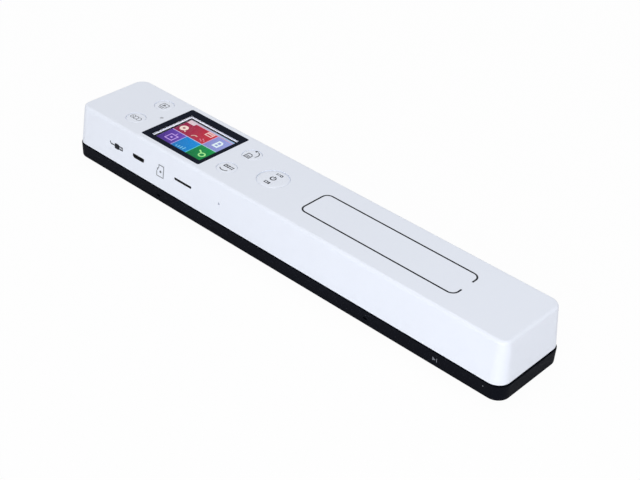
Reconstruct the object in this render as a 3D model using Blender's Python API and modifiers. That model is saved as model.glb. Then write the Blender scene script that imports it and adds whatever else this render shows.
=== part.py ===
"""Handheld wand scanner: a long white top shell on a black base, with rollers under it.

Run with blender --background --python part.py, or from Blender's text editor. Units are metres,
+Z is up, +X runs along the wand away from the display, and -Y is the front with the sockets.
The origin lies on the table under the middle of the wand, level with the rollers' treads.
"""

import math

import bmesh
import bpy
from mathutils import Matrix

MM = 0.001

# Gaps between pieces that touch, turn or slide
SEAT_GAP = 0.3 * MM
RUNNING_GAP = 0.25 * MM
PRESS_GAP = 0.15 * MM
FLUSH_DROP = 0.05 * MM
OVERRUN = 1.0 * MM
ROOTING = 0.4 * MM
WELD = 0.001 * MM
FLAT_ANGLE = math.radians(0.05)

# Sides of round pieces
FINE_SIDES = 40
ROUND_SIDES = 32
SMALL_SIDES = 20
CORNER_STEPS = 6
FILLET_STEPS = 4

# Rollers, their axles and bushings
ROLLER_RADIUS = 4.8 * MM
ROLLER_WIDTH = 8.0 * MM
ROLLER_CHAMFER = 0.4 * MM
ROLLER_PROUD = 0.5 * MM
AXLE_RADIUS = 1.25 * MM
AXLE_CHAMFER = 0.2 * MM
AXLE_OVERHANG = 0.9 * MM
BUSHING_RADIUS = 2.2 * MM
BUSHING_LENGTH = 4.4 * MM
BUSHING_FLANGE_RADIUS = 2.9 * MM
BUSHING_FLANGE_WIDTH = 0.7 * MM
BLOCK_WALL = 1.3 * MM
BLOCK_CROWN = 0.7 * MM
BLOCK_SNAP_WIDTH = 3.7 * MM
AXLE_END_ROOM = 2.2 * MM
ROLLER_BLOCK_GAP = 1.0 * MM
ROLLER_POCKET_GAP = 0.6 * MM

# Gear pair and slotted wheel that count the rollers' turns
GEAR_MODULE = 0.4 * MM
DRIVE_TEETH = 12
WHEEL_TEETH = 20
GEAR_WIDTH = 2.0 * MM
GEAR_SPREAD = 0.12 * MM
TOOTH_BACKLASH = 0.1 * MM
ADDENDUM_MODULES_SHARE = 1.0
DEDENDUM_MODULES_SHARE = 1.25
PRESSURE_ANGLE = math.radians(20)
WHEEL_RADIUS = 4.7 * MM
WHEEL_SLOTS = 20
WHEEL_SLOT_DEPTH = 1.4 * MM
WHEEL_SLOT_SHARE = 0.5
WHEEL_THICKNESS = 0.8 * MM
WHEEL_HUB_RADIUS = 1.9 * MM
WHEEL_HUB_LENGTH = 3.0 * MM
WHEEL_PIN_RADIUS = 0.9 * MM
WHEEL_PIN_HEAD_RADIUS = 1.35 * MM
WHEEL_PIN_HEAD_LENGTH = 0.8 * MM
WHEEL_SIDE_GAP = 0.4 * MM
BRACKET_THICKNESS = 2.0 * MM
BRACKET_ARM = 2.6 * MM
BRACKET_POST_GAP = 0.35 * MM
WHEEL_FROM_POWER = 5.6 * MM
READER_CLEARANCE = 0.6 * MM
READER_BLOCK_HEIGHT = 1.6 * MM
READER_ARM_THICKNESS = 1.8 * MM
READER_WIDTH = 4.4 * MM
GEAR_RELIEF_GAP = 0.45 * MM

# Contact image sensor that lies along the base
GLASS_LENGTH = 218.0 * MM
GLASS_WIDTH = 12.0 * MM
GLASS_THICKNESS = 2.0 * MM
GLASS_RECESS = 0.3 * MM
SENSOR_END_WALL = 3.0 * MM
SENSOR_SIDE_WALL = 2.0 * MM
SENSOR_LENGTH = GLASS_LENGTH + 2 * SENSOR_END_WALL
SENSOR_WIDTH = GLASS_WIDTH + 2 * SENSOR_SIDE_WALL
SENSOR_HEIGHT = 9.4 * MM
SENSOR_ROLLER_GAP = 0.5 * MM
SENSOR_END_GAP = 1.9 * MM
LENS_END_MARGIN = 2.0 * MM
LENS_LENGTH = GLASS_LENGTH - 2 * LENS_END_MARGIN
LENS_WIDTH = 2.6 * MM
LENS_HEIGHT = 5.0 * MM
LIGHT_GUIDE_LENGTH = LENS_LENGTH
LIGHT_GUIDE_RADIUS = 1.5 * MM
LIGHT_GUIDE_GAP = 0.4 * MM
SENSOR_WEB = 1.2 * MM
SENSOR_BOARD_THICKNESS = 1.0 * MM
SENSOR_BOARD_END_WALL = 2.0 * MM
SENSOR_BOARD_SIDE_WALL = 3.0 * MM
SENSOR_BOARD_LENGTH = SENSOR_LENGTH - 2 * SENSOR_BOARD_END_WALL
SENSOR_BOARD_WIDTH = SENSOR_WIDTH - 2 * SENSOR_BOARD_SIDE_WALL

# Base tray
BASE_WALL = 2.0 * MM
BASE_FLOOR = 1.7 * MM
BASE_HEIGHT = 7.6 * MM
BASE_TAPER = 0.8 * MM
BASE_EDGE_RADIUS = 1.2 * MM
BASE_CORNER_RADIUS = 6.6 * MM
SHADOW_GAP = 0.8 * MM
LIP_HEIGHT = 2.0 * MM
LIP_THICKNESS = 0.8 * MM
ROLLER_WALL_GAP = 0.9 * MM
SIDE_NOTCH_WIDTH = 2.0 * MM
SIDE_NOTCH_HEIGHT = 1.2 * MM
SIDE_NOTCH_DEPTH = 0.8 * MM
SIDE_NOTCH_RISE = 3.1 * MM
SIDE_NOTCH_SPREAD = 64.0 * MM
SIDE_NOTCH_SHIFT = -5.2 * MM

# Top shell
SHELL_WALL = 1.8 * MM
SHELL_ROOF = 2.0 * MM
SHELL_SKIRT = 0.9 * MM
SHELL_END_DRAFT = 2.6 * MM
SHELL_SIDE_DRAFT = 1.7 * MM
SHELL_FOOT_RADIUS = 7.0 * MM
SHELL_TOP_RADIUS = 5.2 * MM
SHELL_EDGE_RADIUS = 1.6 * MM
SHELL_RIB = 1.2 * MM
SHELL_RIB_DEPTH = 5.0 * MM

# Display, its window and frame
WINDOW_LENGTH = 38.5 * MM
WINDOW_WIDTH = 32.5 * MM
WINDOW_THICKNESS = 1.2 * MM
WINDOW_CORNER_RADIUS = 0.8 * MM
WINDOW_SIDE_GAP = 0.15 * MM
WINDOW_EDGE_MARGIN = 0.8 * MM
WINDOW_LEDGE = 0.5 * MM
WINDOW_END_BORDER = 2.6 * MM
WINDOW_SIDE_BORDER = 3.0 * MM
DISPLAY_FRAME_LAP = 0.5 * MM
DISPLAY_FRAME_LENGTH = WINDOW_LENGTH - 2 * (WINDOW_END_BORDER - DISPLAY_FRAME_LAP)
DISPLAY_FRAME_WIDTH = WINDOW_WIDTH - 2 * (WINDOW_SIDE_BORDER - DISPLAY_FRAME_LAP)
DISPLAY_FRAME_HEIGHT = 5.5 * MM
DISPLAY_FRAME_WALL = 0.9 * MM
DISPLAY_FRAME_FLOOR = 0.8 * MM
DISPLAY_PANEL_THICKNESS = 1.5 * MM
DISPLAY_PANEL_DROP = 0.3 * MM

# Buttons, their switches and the status lamp
CONTROLS_Y = 0.5 * MM
BUTTON_TRAVEL = 0.4 * MM
BUTTON_FLANGE_THICKNESS = 0.8 * MM
BUTTON_STEM_RADIUS = 1.5 * MM
BUTTON_EDGE = 0.3 * MM
BUTTON_DISH_DEPTH = 0.25 * MM
BUTTON_DISH_SHARE = 0.8
POWER_RADIUS = 7.7 * MM
SMALL_RADIUS = 4.85 * MM
BUTTON_FLANGE = 0.9 * MM
LEFT_PAIR_HALF_SPREAD = 9.0 * MM
RIGHT_PAIR_HALF_SPREAD = 8.05 * MM
RIGHT_PAIR_Y = 0.05 * MM
LEFT_PAIR_TO_WINDOW = 7.3 * MM
WINDOW_TO_RIGHT_PAIR = 5.7 * MM
RIGHT_PAIR_TO_POWER = 8.35 * MM
SWITCH_SIDE = 6.0 * MM
SWITCH_HEIGHT = 2.4 * MM
SWITCH_FLOOR = 0.6 * MM
PLUNGER_RADIUS = 1.7 * MM
PLUNGER_PROUD = 0.9 * MM
PLUNGER_REST_GAP = 0.5 * MM
LAMP_TO_WINDOW = 3.95 * MM
LIGHT_PIPE_RADIUS = 0.85 * MM
LIGHT_PIPE_COLLAR_RADIUS = 1.5 * MM
LIGHT_PIPE_COLLAR_HEIGHT = 0.6 * MM
LAMP_LENGTH = 2.0 * MM
LAMP_WIDTH = 1.25 * MM
LAMP_HEIGHT = 0.9 * MM

# Main board, what is soldered on it and its screws
BOARD_THICKNESS = 1.4 * MM
BOARD_CORNER_RADIUS = 1.5 * MM
BOARD_LEFT_MARGIN = 0.15 * MM
BOARD_RIGHT_MARGIN = 3.4 * MM
BOARD_SCREW_HOLE_RADIUS = 1.2 * MM
BOARD_BOSS_RADIUS = 2.2 * MM
BOARD_SCREW_HEAD_RADIUS = 1.7 * MM
BOARD_SCREW_HEAD_HEIGHT = 1.1 * MM
BOARD_SCREW_LENGTH = 6.0 * MM
BOARD_SCREW_LEFT_Y = 12.8 * MM
BOARD_SCREW_LEFT_FROM_EDGE = 16.0 * MM
BOARD_SCREW_RIGHT_Y = -12.5 * MM
BOARD_SCREW_RIGHT_FROM_EDGE = 21.0 * MM
PROCESSOR_SIDE = 10.0 * MM
PROCESSOR_HEIGHT = 1.2 * MM
PROCESSOR_FROM_WINDOW = 3.0 * MM

# Sockets and the reset switch on the front
USB_WIDTH = 7.4 * MM
USB_FOOT_WIDTH = 5.6 * MM
USB_HEIGHT = 2.4 * MM
USB_DEPTH = 5.0 * MM
USB_SHEET = 0.3 * MM
USB_OPENING_WIDTH = 7.9 * MM
USB_OPENING_FOOT = 6.5 * MM
USB_OPENING_HEIGHT = 2.0 * MM
USB_FROM_DISPLAY = -16.5 * MM
USB_TONGUE_WIDTH = 3.6 * MM
USB_TONGUE_THICKNESS = 0.6 * MM
USB_BACK_THICKNESS = 1.2 * MM
CARD_SLOT_WIDTH = 11.3 * MM
CARD_SLOT_HEIGHT = 0.9 * MM
CARD_GAP = 0.8 * MM
CARD_SOCKET_DEPTH = 13.0 * MM
CARD_SHEET = 0.25 * MM
CARD_BASE_THICKNESS = 0.4 * MM
CARD_FROM_DISPLAY = 13.9 * MM
RESET_HOLE_RADIUS = 0.6 * MM
RESET_BODY_LENGTH = 4.6 * MM
RESET_BODY_DEPTH = 3.2 * MM
RESET_BODY_HEIGHT = 1.5 * MM
RESET_PLUNGER_WIDTH = 1.8 * MM
RESET_PLUNGER_HEIGHT = 0.7 * MM
RESET_PLUNGER_PROUD = 0.5 * MM
RESET_PLUNGER_DEPTH = 1.1 * MM
RESET_TRAVEL = 0.25 * MM
RESET_FROM_RIGHT_PAIR = 7.6 * MM

# Battery, its pad and leads
BATTERY_LENGTH = 70.0 * MM
BATTERY_WIDTH = 32.0 * MM
BATTERY_THICKNESS = 7.0 * MM
BATTERY_EDGE_RADIUS = 2.0 * MM
BATTERY_FROM_BOARD = 14.5 * MM
BATTERY_SIDE_GAP = 1.0 * MM
BATTERY_PAD_END_MARGIN = 5.0 * MM
BATTERY_PAD_SIDE_MARGIN = 4.0 * MM
BATTERY_PAD_LENGTH = BATTERY_LENGTH - 2 * BATTERY_PAD_END_MARGIN
BATTERY_PAD_WIDTH = BATTERY_WIDTH - 2 * BATTERY_PAD_SIDE_MARGIN
BATTERY_PAD_THICKNESS = 0.8 * MM
LEAD_RADIUS = 0.6 * MM
LEAD_SPACING = 4.0 * MM
LEAD_LANDING = 4.5 * MM
LEAD_STEPS = 14

# Ribbon from the sensor to the main board
RIBBON_WIDTH = 12.0 * MM
RIBBON_THICKNESS = 0.3 * MM
RIBBON_REACH = 4.2 * MM
RIBBON_STEPS = 8
CONNECTOR_LENGTH = 15.0 * MM
CONNECTOR_DEPTH = 4.0 * MM
CONNECTOR_HEIGHT = 2.0 * MM
CONNECTOR_SLOT_HEIGHT = 0.9 * MM
CONNECTOR_SLOT_DEPTH = 2.4 * MM
CONNECTOR_Y = 5.5 * MM
CONNECTOR_FROM_DISPLAY = 10.0 * MM

# Case screws
CASE_BOSS_RADIUS = 1.7 * MM
CASE_SCREW_RADIUS = 0.8 * MM
CASE_PILOT_RADIUS = 1.05 * MM
CASE_SCREW_HEAD_RADIUS = 1.45 * MM
CASE_SCREW_HEAD_HEIGHT = 0.8 * MM
CASE_SCREW_LENGTH = 12.0 * MM
CASE_COUNTERBORE_RADIUS = 1.75 * MM
CASE_COUNTERBORE_DEPTH = 1.15 * MM
SCREW_RECESS_RADIUS = 0.6 * MM
SCREW_RECESS_DEPTH = 0.45 * MM
SCREW_POINT = 0.6 * MM
RIGHT_SCREW_TO_ROLLER = 6.4 * MM
RIGHT_SCREW_TO_SENSOR = 5.1 * MM
RIGHT_SCREW_HALF_SPREAD = 5.5 * MM
LEFT_SCREW_TO_ROLLER = 4.1 * MM
LEFT_SCREW_TO_BOARD = 2.3 * MM

# Heights, from the table up
AXLE_Z = ROLLER_RADIUS * math.cos(math.pi / ROUND_SIDES)
BASE_Z = ROLLER_PROUD
FLOOR_Z = BASE_Z + BASE_FLOOR
SPLIT_Z = BASE_Z + BASE_HEIGHT
RIM_Z = SPLIT_Z - SHADOW_GAP
SENSOR_Z = FLOOR_Z + SEAT_GAP
SENSOR_TOP_Z = SENSOR_Z + SENSOR_HEIGHT
GEAR_CENTRES = GEAR_MODULE * (DRIVE_TEETH + WHEEL_TEETH) / 2 + GEAR_SPREAD
WHEEL_Z = AXLE_Z + GEAR_CENTRES
READER_BLOCK_Z = WHEEL_Z + WHEEL_RADIUS + READER_CLEARANCE
BOARD_Z = READER_BLOCK_Z + READER_BLOCK_HEIGHT + SEAT_GAP
BOARD_TOP_Z = BOARD_Z + BOARD_THICKNESS
FRAME_Z = BOARD_TOP_Z + SEAT_GAP
FRAME_TOP_Z = FRAME_Z + DISPLAY_FRAME_HEIGHT
ROOF_Z = FRAME_TOP_Z + SEAT_GAP
TOP_Z = ROOF_Z + SHELL_ROOF
FLANGE_TOP_Z = ROOF_Z - SEAT_GAP
FLANGE_Z = FLANGE_TOP_Z - BUTTON_FLANGE_THICKNESS
FACE_Z = TOP_Z - FLUSH_DROP
LEDGE_Z = ROOF_Z + WINDOW_LEDGE
SWITCH_TOP_Z = FRAME_Z + SWITCH_HEIGHT
PLUNGER_TOP_Z = SWITCH_TOP_Z + PLUNGER_PROUD
SOCKET_TOP_Z = BOARD_Z - SEAT_GAP

# Places across the wand
ROLLER_HALF = ROLLER_RADIUS + ROLLER_WALL_GAP + BASE_WALL
RUNNING_GEAR_HALF = SENSOR_WIDTH / 2 + SENSOR_ROLLER_GAP + ROLLER_RADIUS + ROLLER_HALF
WINDOW_HALF = WINDOW_WIDTH / 2 + CONTROLS_Y + WINDOW_SIDE_GAP + WINDOW_EDGE_MARGIN
DISPLAY_HALF = WINDOW_HALF + SHELL_EDGE_RADIUS + SHELL_SIDE_DRAFT
BATTERY_HALF = BATTERY_WIDTH / 2 + BATTERY_SIDE_GAP + SHELL_WALL + SHELL_SIDE_DRAFT
WIDTH = 2 * max(RUNNING_GEAR_HALF, DISPLAY_HALF, BATTERY_HALF)
BOARD_WIDTH = WIDTH - 2 * (SHELL_WALL + SHELL_SIDE_DRAFT)
AXLE_Y = WIDTH / 2 - ROLLER_HALF

# Places along the wand
END_ROOM = AXLE_END_ROOM + BUSHING_LENGTH + ROLLER_BLOCK_GAP + ROLLER_WIDTH
SCREW_ROOM = RIGHT_SCREW_TO_ROLLER + RIGHT_SCREW_TO_SENSOR
LENGTH = 2 * BASE_WALL + SENSOR_END_GAP + SENSOR_LENGTH + END_ROOM + SCREW_ROOM
END_INNER = LENGTH / 2 - BASE_WALL
SENSOR_X = -END_INNER + SENSOR_END_GAP + SENSOR_LENGTH / 2
BLOCK_X = END_INNER - AXLE_END_ROOM - BUSHING_LENGTH / 2
ROLLER_X = END_INNER - END_ROOM + ROLLER_WIDTH / 2
ROLLER_INNER_X = ROLLER_X - ROLLER_WIDTH / 2
LEFT_SCREW_X = -ROLLER_INNER_X + LEFT_SCREW_TO_ROLLER
RIGHT_SCREW_X = ROLLER_INNER_X - RIGHT_SCREW_TO_ROLLER
BOARD_LEFT = LEFT_SCREW_X + LEFT_SCREW_TO_BOARD
LEFT_PAIR_X = BOARD_LEFT + BOARD_LEFT_MARGIN + BUTTON_FLANGE + SMALL_RADIUS
DISPLAY_X = LEFT_PAIR_X + SMALL_RADIUS + LEFT_PAIR_TO_WINDOW + WINDOW_LENGTH / 2
RIGHT_PAIR_X = DISPLAY_X + WINDOW_LENGTH / 2 + WINDOW_TO_RIGHT_PAIR + SMALL_RADIUS
POWER_X = RIGHT_PAIR_X + SMALL_RADIUS + RIGHT_PAIR_TO_POWER + POWER_RADIUS
LAMP_X = DISPLAY_X - WINDOW_LENGTH / 2 - LAMP_TO_WINDOW
BOARD_RIGHT = POWER_X + POWER_RADIUS + BUTTON_FLANGE + BOARD_RIGHT_MARGIN
BATTERY_X = BOARD_RIGHT + BATTERY_FROM_BOARD
LEFT_SCREW_Y = SENSOR_WIDTH / 2 + (AXLE_Y - AXLE_RADIUS - SENSOR_WIDTH / 2) / 2
GEAR_X = POWER_X - WHEEL_FROM_POWER

BUTTONS = {
    "power": (POWER_X, CONTROLS_Y, POWER_RADIUS),
    "resolution": (RIGHT_PAIR_X, RIGHT_PAIR_Y - RIGHT_PAIR_HALF_SPREAD, SMALL_RADIUS),
    "file_format": (RIGHT_PAIR_X, RIGHT_PAIR_Y + RIGHT_PAIR_HALF_SPREAD, SMALL_RADIUS),
    "colour_mode": (LEFT_PAIR_X, CONTROLS_Y - LEFT_PAIR_HALF_SPREAD, SMALL_RADIUS),
    "playback": (LEFT_PAIR_X, CONTROLS_Y + LEFT_PAIR_HALF_SPREAD, SMALL_RADIUS),
}
CASE_SCREWS = {
    "left_front": (LEFT_SCREW_X, -LEFT_SCREW_Y),
    "left_rear": (LEFT_SCREW_X, LEFT_SCREW_Y),
    "right_front": (RIGHT_SCREW_X, -RIGHT_SCREW_HALF_SPREAD),
    "right_rear": (RIGHT_SCREW_X, RIGHT_SCREW_HALF_SPREAD),
}
BOARD_SCREWS = {
    "left": (BOARD_LEFT + BOARD_SCREW_LEFT_FROM_EDGE, BOARD_SCREW_LEFT_Y),
    "right": (BOARD_RIGHT - BOARD_SCREW_RIGHT_FROM_EDGE, BOARD_SCREW_RIGHT_Y),
}

WHITE_ABS = ((0.80, 0.82, 0.87), 0.32, 0.0)
BLACK_ABS = ((0.012, 0.014, 0.022), 0.45, 0.0)
RUBBER = ((0.03, 0.03, 0.032), 0.85, 0.0)
STEEL = ((0.62, 0.62, 0.63), 0.28, 1.0)
BRASS = ((0.72, 0.55, 0.28), 0.35, 1.0)
ACETAL = ((0.78, 0.78, 0.74), 0.5, 0.0)
BLACK_CHIP = ((0.03, 0.03, 0.035), 0.55, 0.0)
BOARD_GREEN = ((0.02, 0.16, 0.07), 0.4, 0.0)
GLASS = ((0.75, 0.85, 0.85), 0.05, 0.0)
SMOKED = ((0.01, 0.012, 0.02), 0.06, 0.0)
SCREEN = ((0.12, 0.2, 0.5), 0.2, 0.0)
FOIL = ((0.66, 0.68, 0.70), 0.42, 0.6)
FOAM = ((0.08, 0.08, 0.08), 0.95, 0.0)
RED_PVC = ((0.55, 0.02, 0.02), 0.45, 0.0)
BLACK_PVC = ((0.02, 0.02, 0.02), 0.45, 0.0)
FILM = ((0.72, 0.50, 0.20), 0.35, 0.0)


def clear_scene():
    for item in list(bpy.data.objects):
        bpy.data.objects.remove(item, do_unlink=True)


def collection(name, hidden=False):
    made = bpy.data.collections.new(name)
    bpy.context.scene.collection.children.link(made)
    made.hide_render = hidden
    return made


clear_scene()
PARTS = collection("handheld_scanner")
TOOLS = collection("cutters", hidden=True)


def finish_material(name, look):
    colour, roughness, metallic = look
    material = bpy.data.materials.new(name + "_finish")
    material.use_nodes = True
    shader = material.node_tree.nodes["Principled BSDF"]
    shader.inputs["Base Color"].default_value = (*colour, 1)
    shader.inputs["Roughness"].default_value = roughness
    shader.inputs["Metallic"].default_value = metallic
    return material


def make_object(name, mesh, look=None, parent=None, place=(0, 0, 0)):
    """Links a mesh as a part, or as a hidden cutter when it has no look."""
    thing = bpy.data.objects.new(name, mesh)
    thing.location = place
    thing.parent = parent
    if look is None:
        thing.hide_render = True
        thing.display_type = "WIRE"
        TOOLS.objects.link(thing)
    else:
        mesh.materials.append(finish_material(name, look))
        mesh.shade_smooth()
        mesh.set_sharp_from_angle(angle=math.radians(35))
        PARTS.objects.link(thing)
    return thing


def mesh_from(shape, name):
    bmesh.ops.recalc_face_normals(shape, faces=shape.faces)
    mesh = bpy.data.meshes.new(name)
    shape.to_mesh(mesh)
    shape.free()
    return mesh


def axis_empty(name, place):
    """An empty on a joint's axis, which the pieces that turn together hang from."""
    empty = bpy.data.objects.new(name, None)
    empty.location = place
    PARTS.objects.link(empty)
    return empty


def box(name, low, high, look=None, radius=0, steps=CORNER_STEPS, **placing):
    """A box from its low to its high corner, with its upright edges rounded."""
    shape = bmesh.new()
    bmesh.ops.create_cube(shape, size=1)
    size = [high[i] - low[i] for i in range(3)]
    middle = [(high[i] + low[i]) / 2 for i in range(3)]
    bmesh.ops.scale(shape, vec=size, verts=shape.verts)
    bmesh.ops.translate(shape, vec=middle, verts=shape.verts)
    if radius:
        upright = [e for e in shape.edges if abs(e.verts[0].co.z - e.verts[1].co.z) > size[2] / 2]
        bmesh.ops.bevel(shape, geom=upright, offset=radius, segments=steps, profile=0.5, affect="EDGES")
    return make_object(name, mesh_from(shape, name), look, **placing)


def box_at(name, centre, size, look=None, **options):
    low = [c - s / 2 for c, s in zip(centre, size)]
    high = [c + s / 2 for c, s in zip(centre, size)]
    return box(name, low, high, look, **options)


def cylinder(name, radius, start, end, look=None, sides=SMALL_SIDES, axis="Z", **placing):
    """A cylinder whose end faces' centres are start and end, which lie along one axis."""
    shape = bmesh.new()
    length = sum(abs(e - s) for s, e in zip(start, end))
    bmesh.ops.create_cone(
        shape, cap_ends=True, segments=sides, radius1=radius, radius2=radius, depth=length
    )
    if axis == "X":
        bmesh.ops.rotate(shape, matrix=Matrix.Rotation(math.pi / 2, 3, "Y"), verts=shape.verts)
    if axis == "Y":
        bmesh.ops.rotate(shape, matrix=Matrix.Rotation(math.pi / 2, 3, "X"), verts=shape.verts)
    middle = [(s + e) / 2 for s, e in zip(start, end)]
    bmesh.ops.translate(shape, vec=middle, verts=shape.verts)
    return make_object(name, mesh_from(shape, name), look, **placing)


def turned(name, profile, look=None, sides=SMALL_SIDES, along_x=False, **placing):
    """Spins a profile of (radius, height) points; one that starts off the axis is a ring."""
    mesh = bpy.data.meshes.new(name)
    points = [(radius, 0, height) for radius, height in profile]
    edges = [(i, i + 1) for i in range(len(points) - 1)]
    if profile[0][0] > 0:
        edges.append((len(points) - 1, 0))
    mesh.from_pydata(points, edges, [])
    thing = make_object(name, mesh, look, **placing)
    screw = thing.modifiers.new("Screw", "SCREW")
    screw.steps = sides
    screw.render_steps = sides
    screw.use_merge_vertices = True
    screw.merge_threshold = WELD
    screw.use_smooth_shade = False
    if along_x:
        half_step = Matrix.Rotation(math.pi / sides, 3, "Z")
        thing.rotation_euler = (Matrix.Rotation(math.pi / 2, 3, "Y") @ half_step).to_euler()
    return thing


def outline_plate(name, points, thickness, look=None, turn=(0, 0, 0), **placing):
    """Extrudes a flat outline, as a filled 2D curve turned into a mesh."""
    curve = bpy.data.curves.new(name, "CURVE")
    curve.dimensions = "2D"
    curve.fill_mode = "BOTH"
    curve.extrude = thickness / 2
    spline = curve.splines.new("POLY")
    spline.points.add(len(points) - 1)
    for point, (x, y) in zip(spline.points, points):
        point.co = (x, y, 0, 1)
    spline.use_cyclic_u = True
    mesh = meshed_curve(curve, name)
    shape = bmesh.new()
    shape.from_mesh(mesh)
    bmesh.ops.dissolve_limit(shape, angle_limit=FLAT_ANGLE, verts=shape.verts, edges=shape.edges)
    shape.to_mesh(mesh)
    shape.free()
    plate = make_object(name, mesh, look, **placing)
    plate.rotation_euler = turn
    return plate


def meshed_curve(curve, name):
    """The mesh of a curve, with its caps welded on."""
    guide = bpy.data.objects.new(name + "_guide", curve)
    bpy.context.scene.collection.objects.link(guide)
    graph = bpy.context.evaluated_depsgraph_get()
    mesh = bpy.data.meshes.new_from_object(guide.evaluated_get(graph))
    bpy.data.objects.remove(guide)
    shape = bmesh.new()
    shape.from_mesh(mesh)
    bmesh.ops.remove_doubles(shape, verts=shape.verts, dist=WELD)
    bmesh.ops.recalc_face_normals(shape, faces=shape.faces)
    shape.to_mesh(mesh)
    shape.free()
    mesh.materials.clear()
    return mesh


def wire(name, points, radius, look):
    """A round wire along points, with filled ends."""
    curve = bpy.data.curves.new(name, "CURVE")
    curve.dimensions = "3D"
    curve.bevel_depth = radius
    curve.bevel_resolution = 2
    curve.use_fill_caps = True
    spline = curve.splines.new("POLY")
    spline.points.add(len(points) - 1)
    for point, place in zip(spline.points, points):
        point.co = (*place, 1)
    return make_object(name, meshed_curve(curve, name), look)


def ring_points(half_x, half_y, radius, height):
    """A rounded rectangle's points at one height, anticlockwise seen from above."""
    points = []
    for corner, (side_x, side_y) in enumerate(((1, 1), (-1, 1), (-1, -1), (1, -1))):
        for step in range(CORNER_STEPS + 1):
            angle = (corner + step / CORNER_STEPS) * math.pi / 2
            x = side_x * (half_x - radius) + radius * math.cos(angle)
            y = side_y * (half_y - radius) + radius * math.sin(angle)
            points.append((x, y, height))
    return points


def loft(name, sections, look=None):
    """A closed solid through rounded rectangles of (half length, half width, corner, height)."""
    shape = bmesh.new()
    rings = [[shape.verts.new(p) for p in ring_points(*section)] for section in sections]
    for lower, upper in zip(rings, rings[1:]):
        for i in range(len(lower)):
            j = (i + 1) % len(lower)
            shape.faces.new((lower[i], lower[j], upper[j], upper[i]))
    shape.faces.new(rings[0])
    shape.faces.new(rings[-1])
    return make_object(name, mesh_from(shape, name), look)


def combine(target, tool, operation):
    modifier = target.modifiers.new(operation.title() + " " + tool.name, "BOOLEAN")
    modifier.operation = operation
    modifier.solver = "EXACT"
    modifier.object = tool


def cut(target, *tools):
    for tool in tools:
        combine(target, tool, "DIFFERENCE")


def fuse(target, *tools):
    for tool in tools:
        combine(target, tool, "UNION")


def shell_section(height, inset=0):
    """The top shell's rounded rectangle at a height, moved in by inset."""
    rise = (height - SPLIT_Z) / (TOP_Z - SPLIT_Z)
    radius = SHELL_FOOT_RADIUS + (SHELL_TOP_RADIUS - SHELL_FOOT_RADIUS) * rise
    half_x = LENGTH / 2 - SHELL_END_DRAFT * rise - inset
    half_y = WIDTH / 2 - SHELL_SIDE_DRAFT * rise - inset
    return half_x, half_y, radius - inset, height


def base_section(height, inset=0):
    """The base's rounded rectangle at a height, moved in by inset."""
    drop = (SPLIT_Z - height) / BASE_HEIGHT
    half_x = LENGTH / 2 - inset
    half_y = WIDTH / 2 - BASE_TAPER * drop - inset
    return half_x, half_y, BASE_CORNER_RADIUS - inset, height


def front_wall_y(height, inset=0):
    """The place of the top shell's front face at a height, or of a layer inset behind it."""
    return -shell_section(height)[1] + inset


def front_cutter(name, x, z, width, height):
    """A slot through the front wall."""
    outside = -WIDTH / 2 - OVERRUN
    inside = front_wall_y(z, SHELL_WALL + OVERRUN)
    return box(name, (x - width / 2, outside, z - height / 2), (x + width / 2, inside, z + height / 2))


def usb_outline(width, foot, height):
    """A socket's section seen from the front: its lower corners are cut back at 45 degrees."""
    top, low, high = width / 2, foot / 2, height / 2
    shoulder = (width - foot) / 2 - high
    return [(-low, -high), (low, -high), (top, shoulder), (top, high), (-top, high), (-top, shoulder)]


USB_X = DISPLAY_X + USB_FROM_DISPLAY
USB_Z = SOCKET_TOP_Z - USB_HEIGHT / 2
USB_MOUTH_Y = front_wall_y(USB_Z, SHELL_WALL + SEAT_GAP)
CARD_X = DISPLAY_X + CARD_FROM_DISPLAY
CARD_COVER_Z = SOCKET_TOP_Z - CARD_BASE_THICKNESS - CARD_GAP - CARD_SHEET
CARD_SLOT_Z = CARD_COVER_Z + CARD_SHEET + CARD_GAP / 2
RESET_X = RIGHT_PAIR_X + RESET_FROM_RIGHT_PAIR
RESET_Z = SOCKET_TOP_Z - RESET_BODY_HEIGHT / 2
RESET_TIP_Y = front_wall_y(RESET_Z, SHELL_WALL + SEAT_GAP)
UPRIGHT = (math.pi / 2, 0, 0)
ACROSS = (math.pi / 2, 0, math.pi / 2)


def window_cutters():
    """The recess that the window drops into and the opening through its ledge."""
    half_x = WINDOW_LENGTH / 2 + WINDOW_SIDE_GAP
    half_y = WINDOW_WIDTH / 2 + WINDOW_SIDE_GAP
    recess = box(
        "window_recess",
        (DISPLAY_X - half_x, CONTROLS_Y - half_y, LEDGE_Z),
        (DISPLAY_X + half_x, CONTROLS_Y + half_y, TOP_Z + OVERRUN),
        radius=WINDOW_CORNER_RADIUS + WINDOW_SIDE_GAP,
    )
    view_x = WINDOW_LENGTH / 2 - WINDOW_END_BORDER
    view_y = WINDOW_WIDTH / 2 - WINDOW_SIDE_BORDER
    view = box(
        "window_opening",
        (DISPLAY_X - view_x, CONTROLS_Y - view_y, ROOF_Z - OVERRUN),
        (DISPLAY_X + view_x, CONTROLS_Y + view_y, LEDGE_Z + OVERRUN),
    )
    return recess, view


def roof_hole(name, x, y, radius, sides):
    return cylinder(name, radius, (x, y, ROOF_Z - OVERRUN), (x, y, TOP_Z + OVERRUN), sides=sides)


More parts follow.
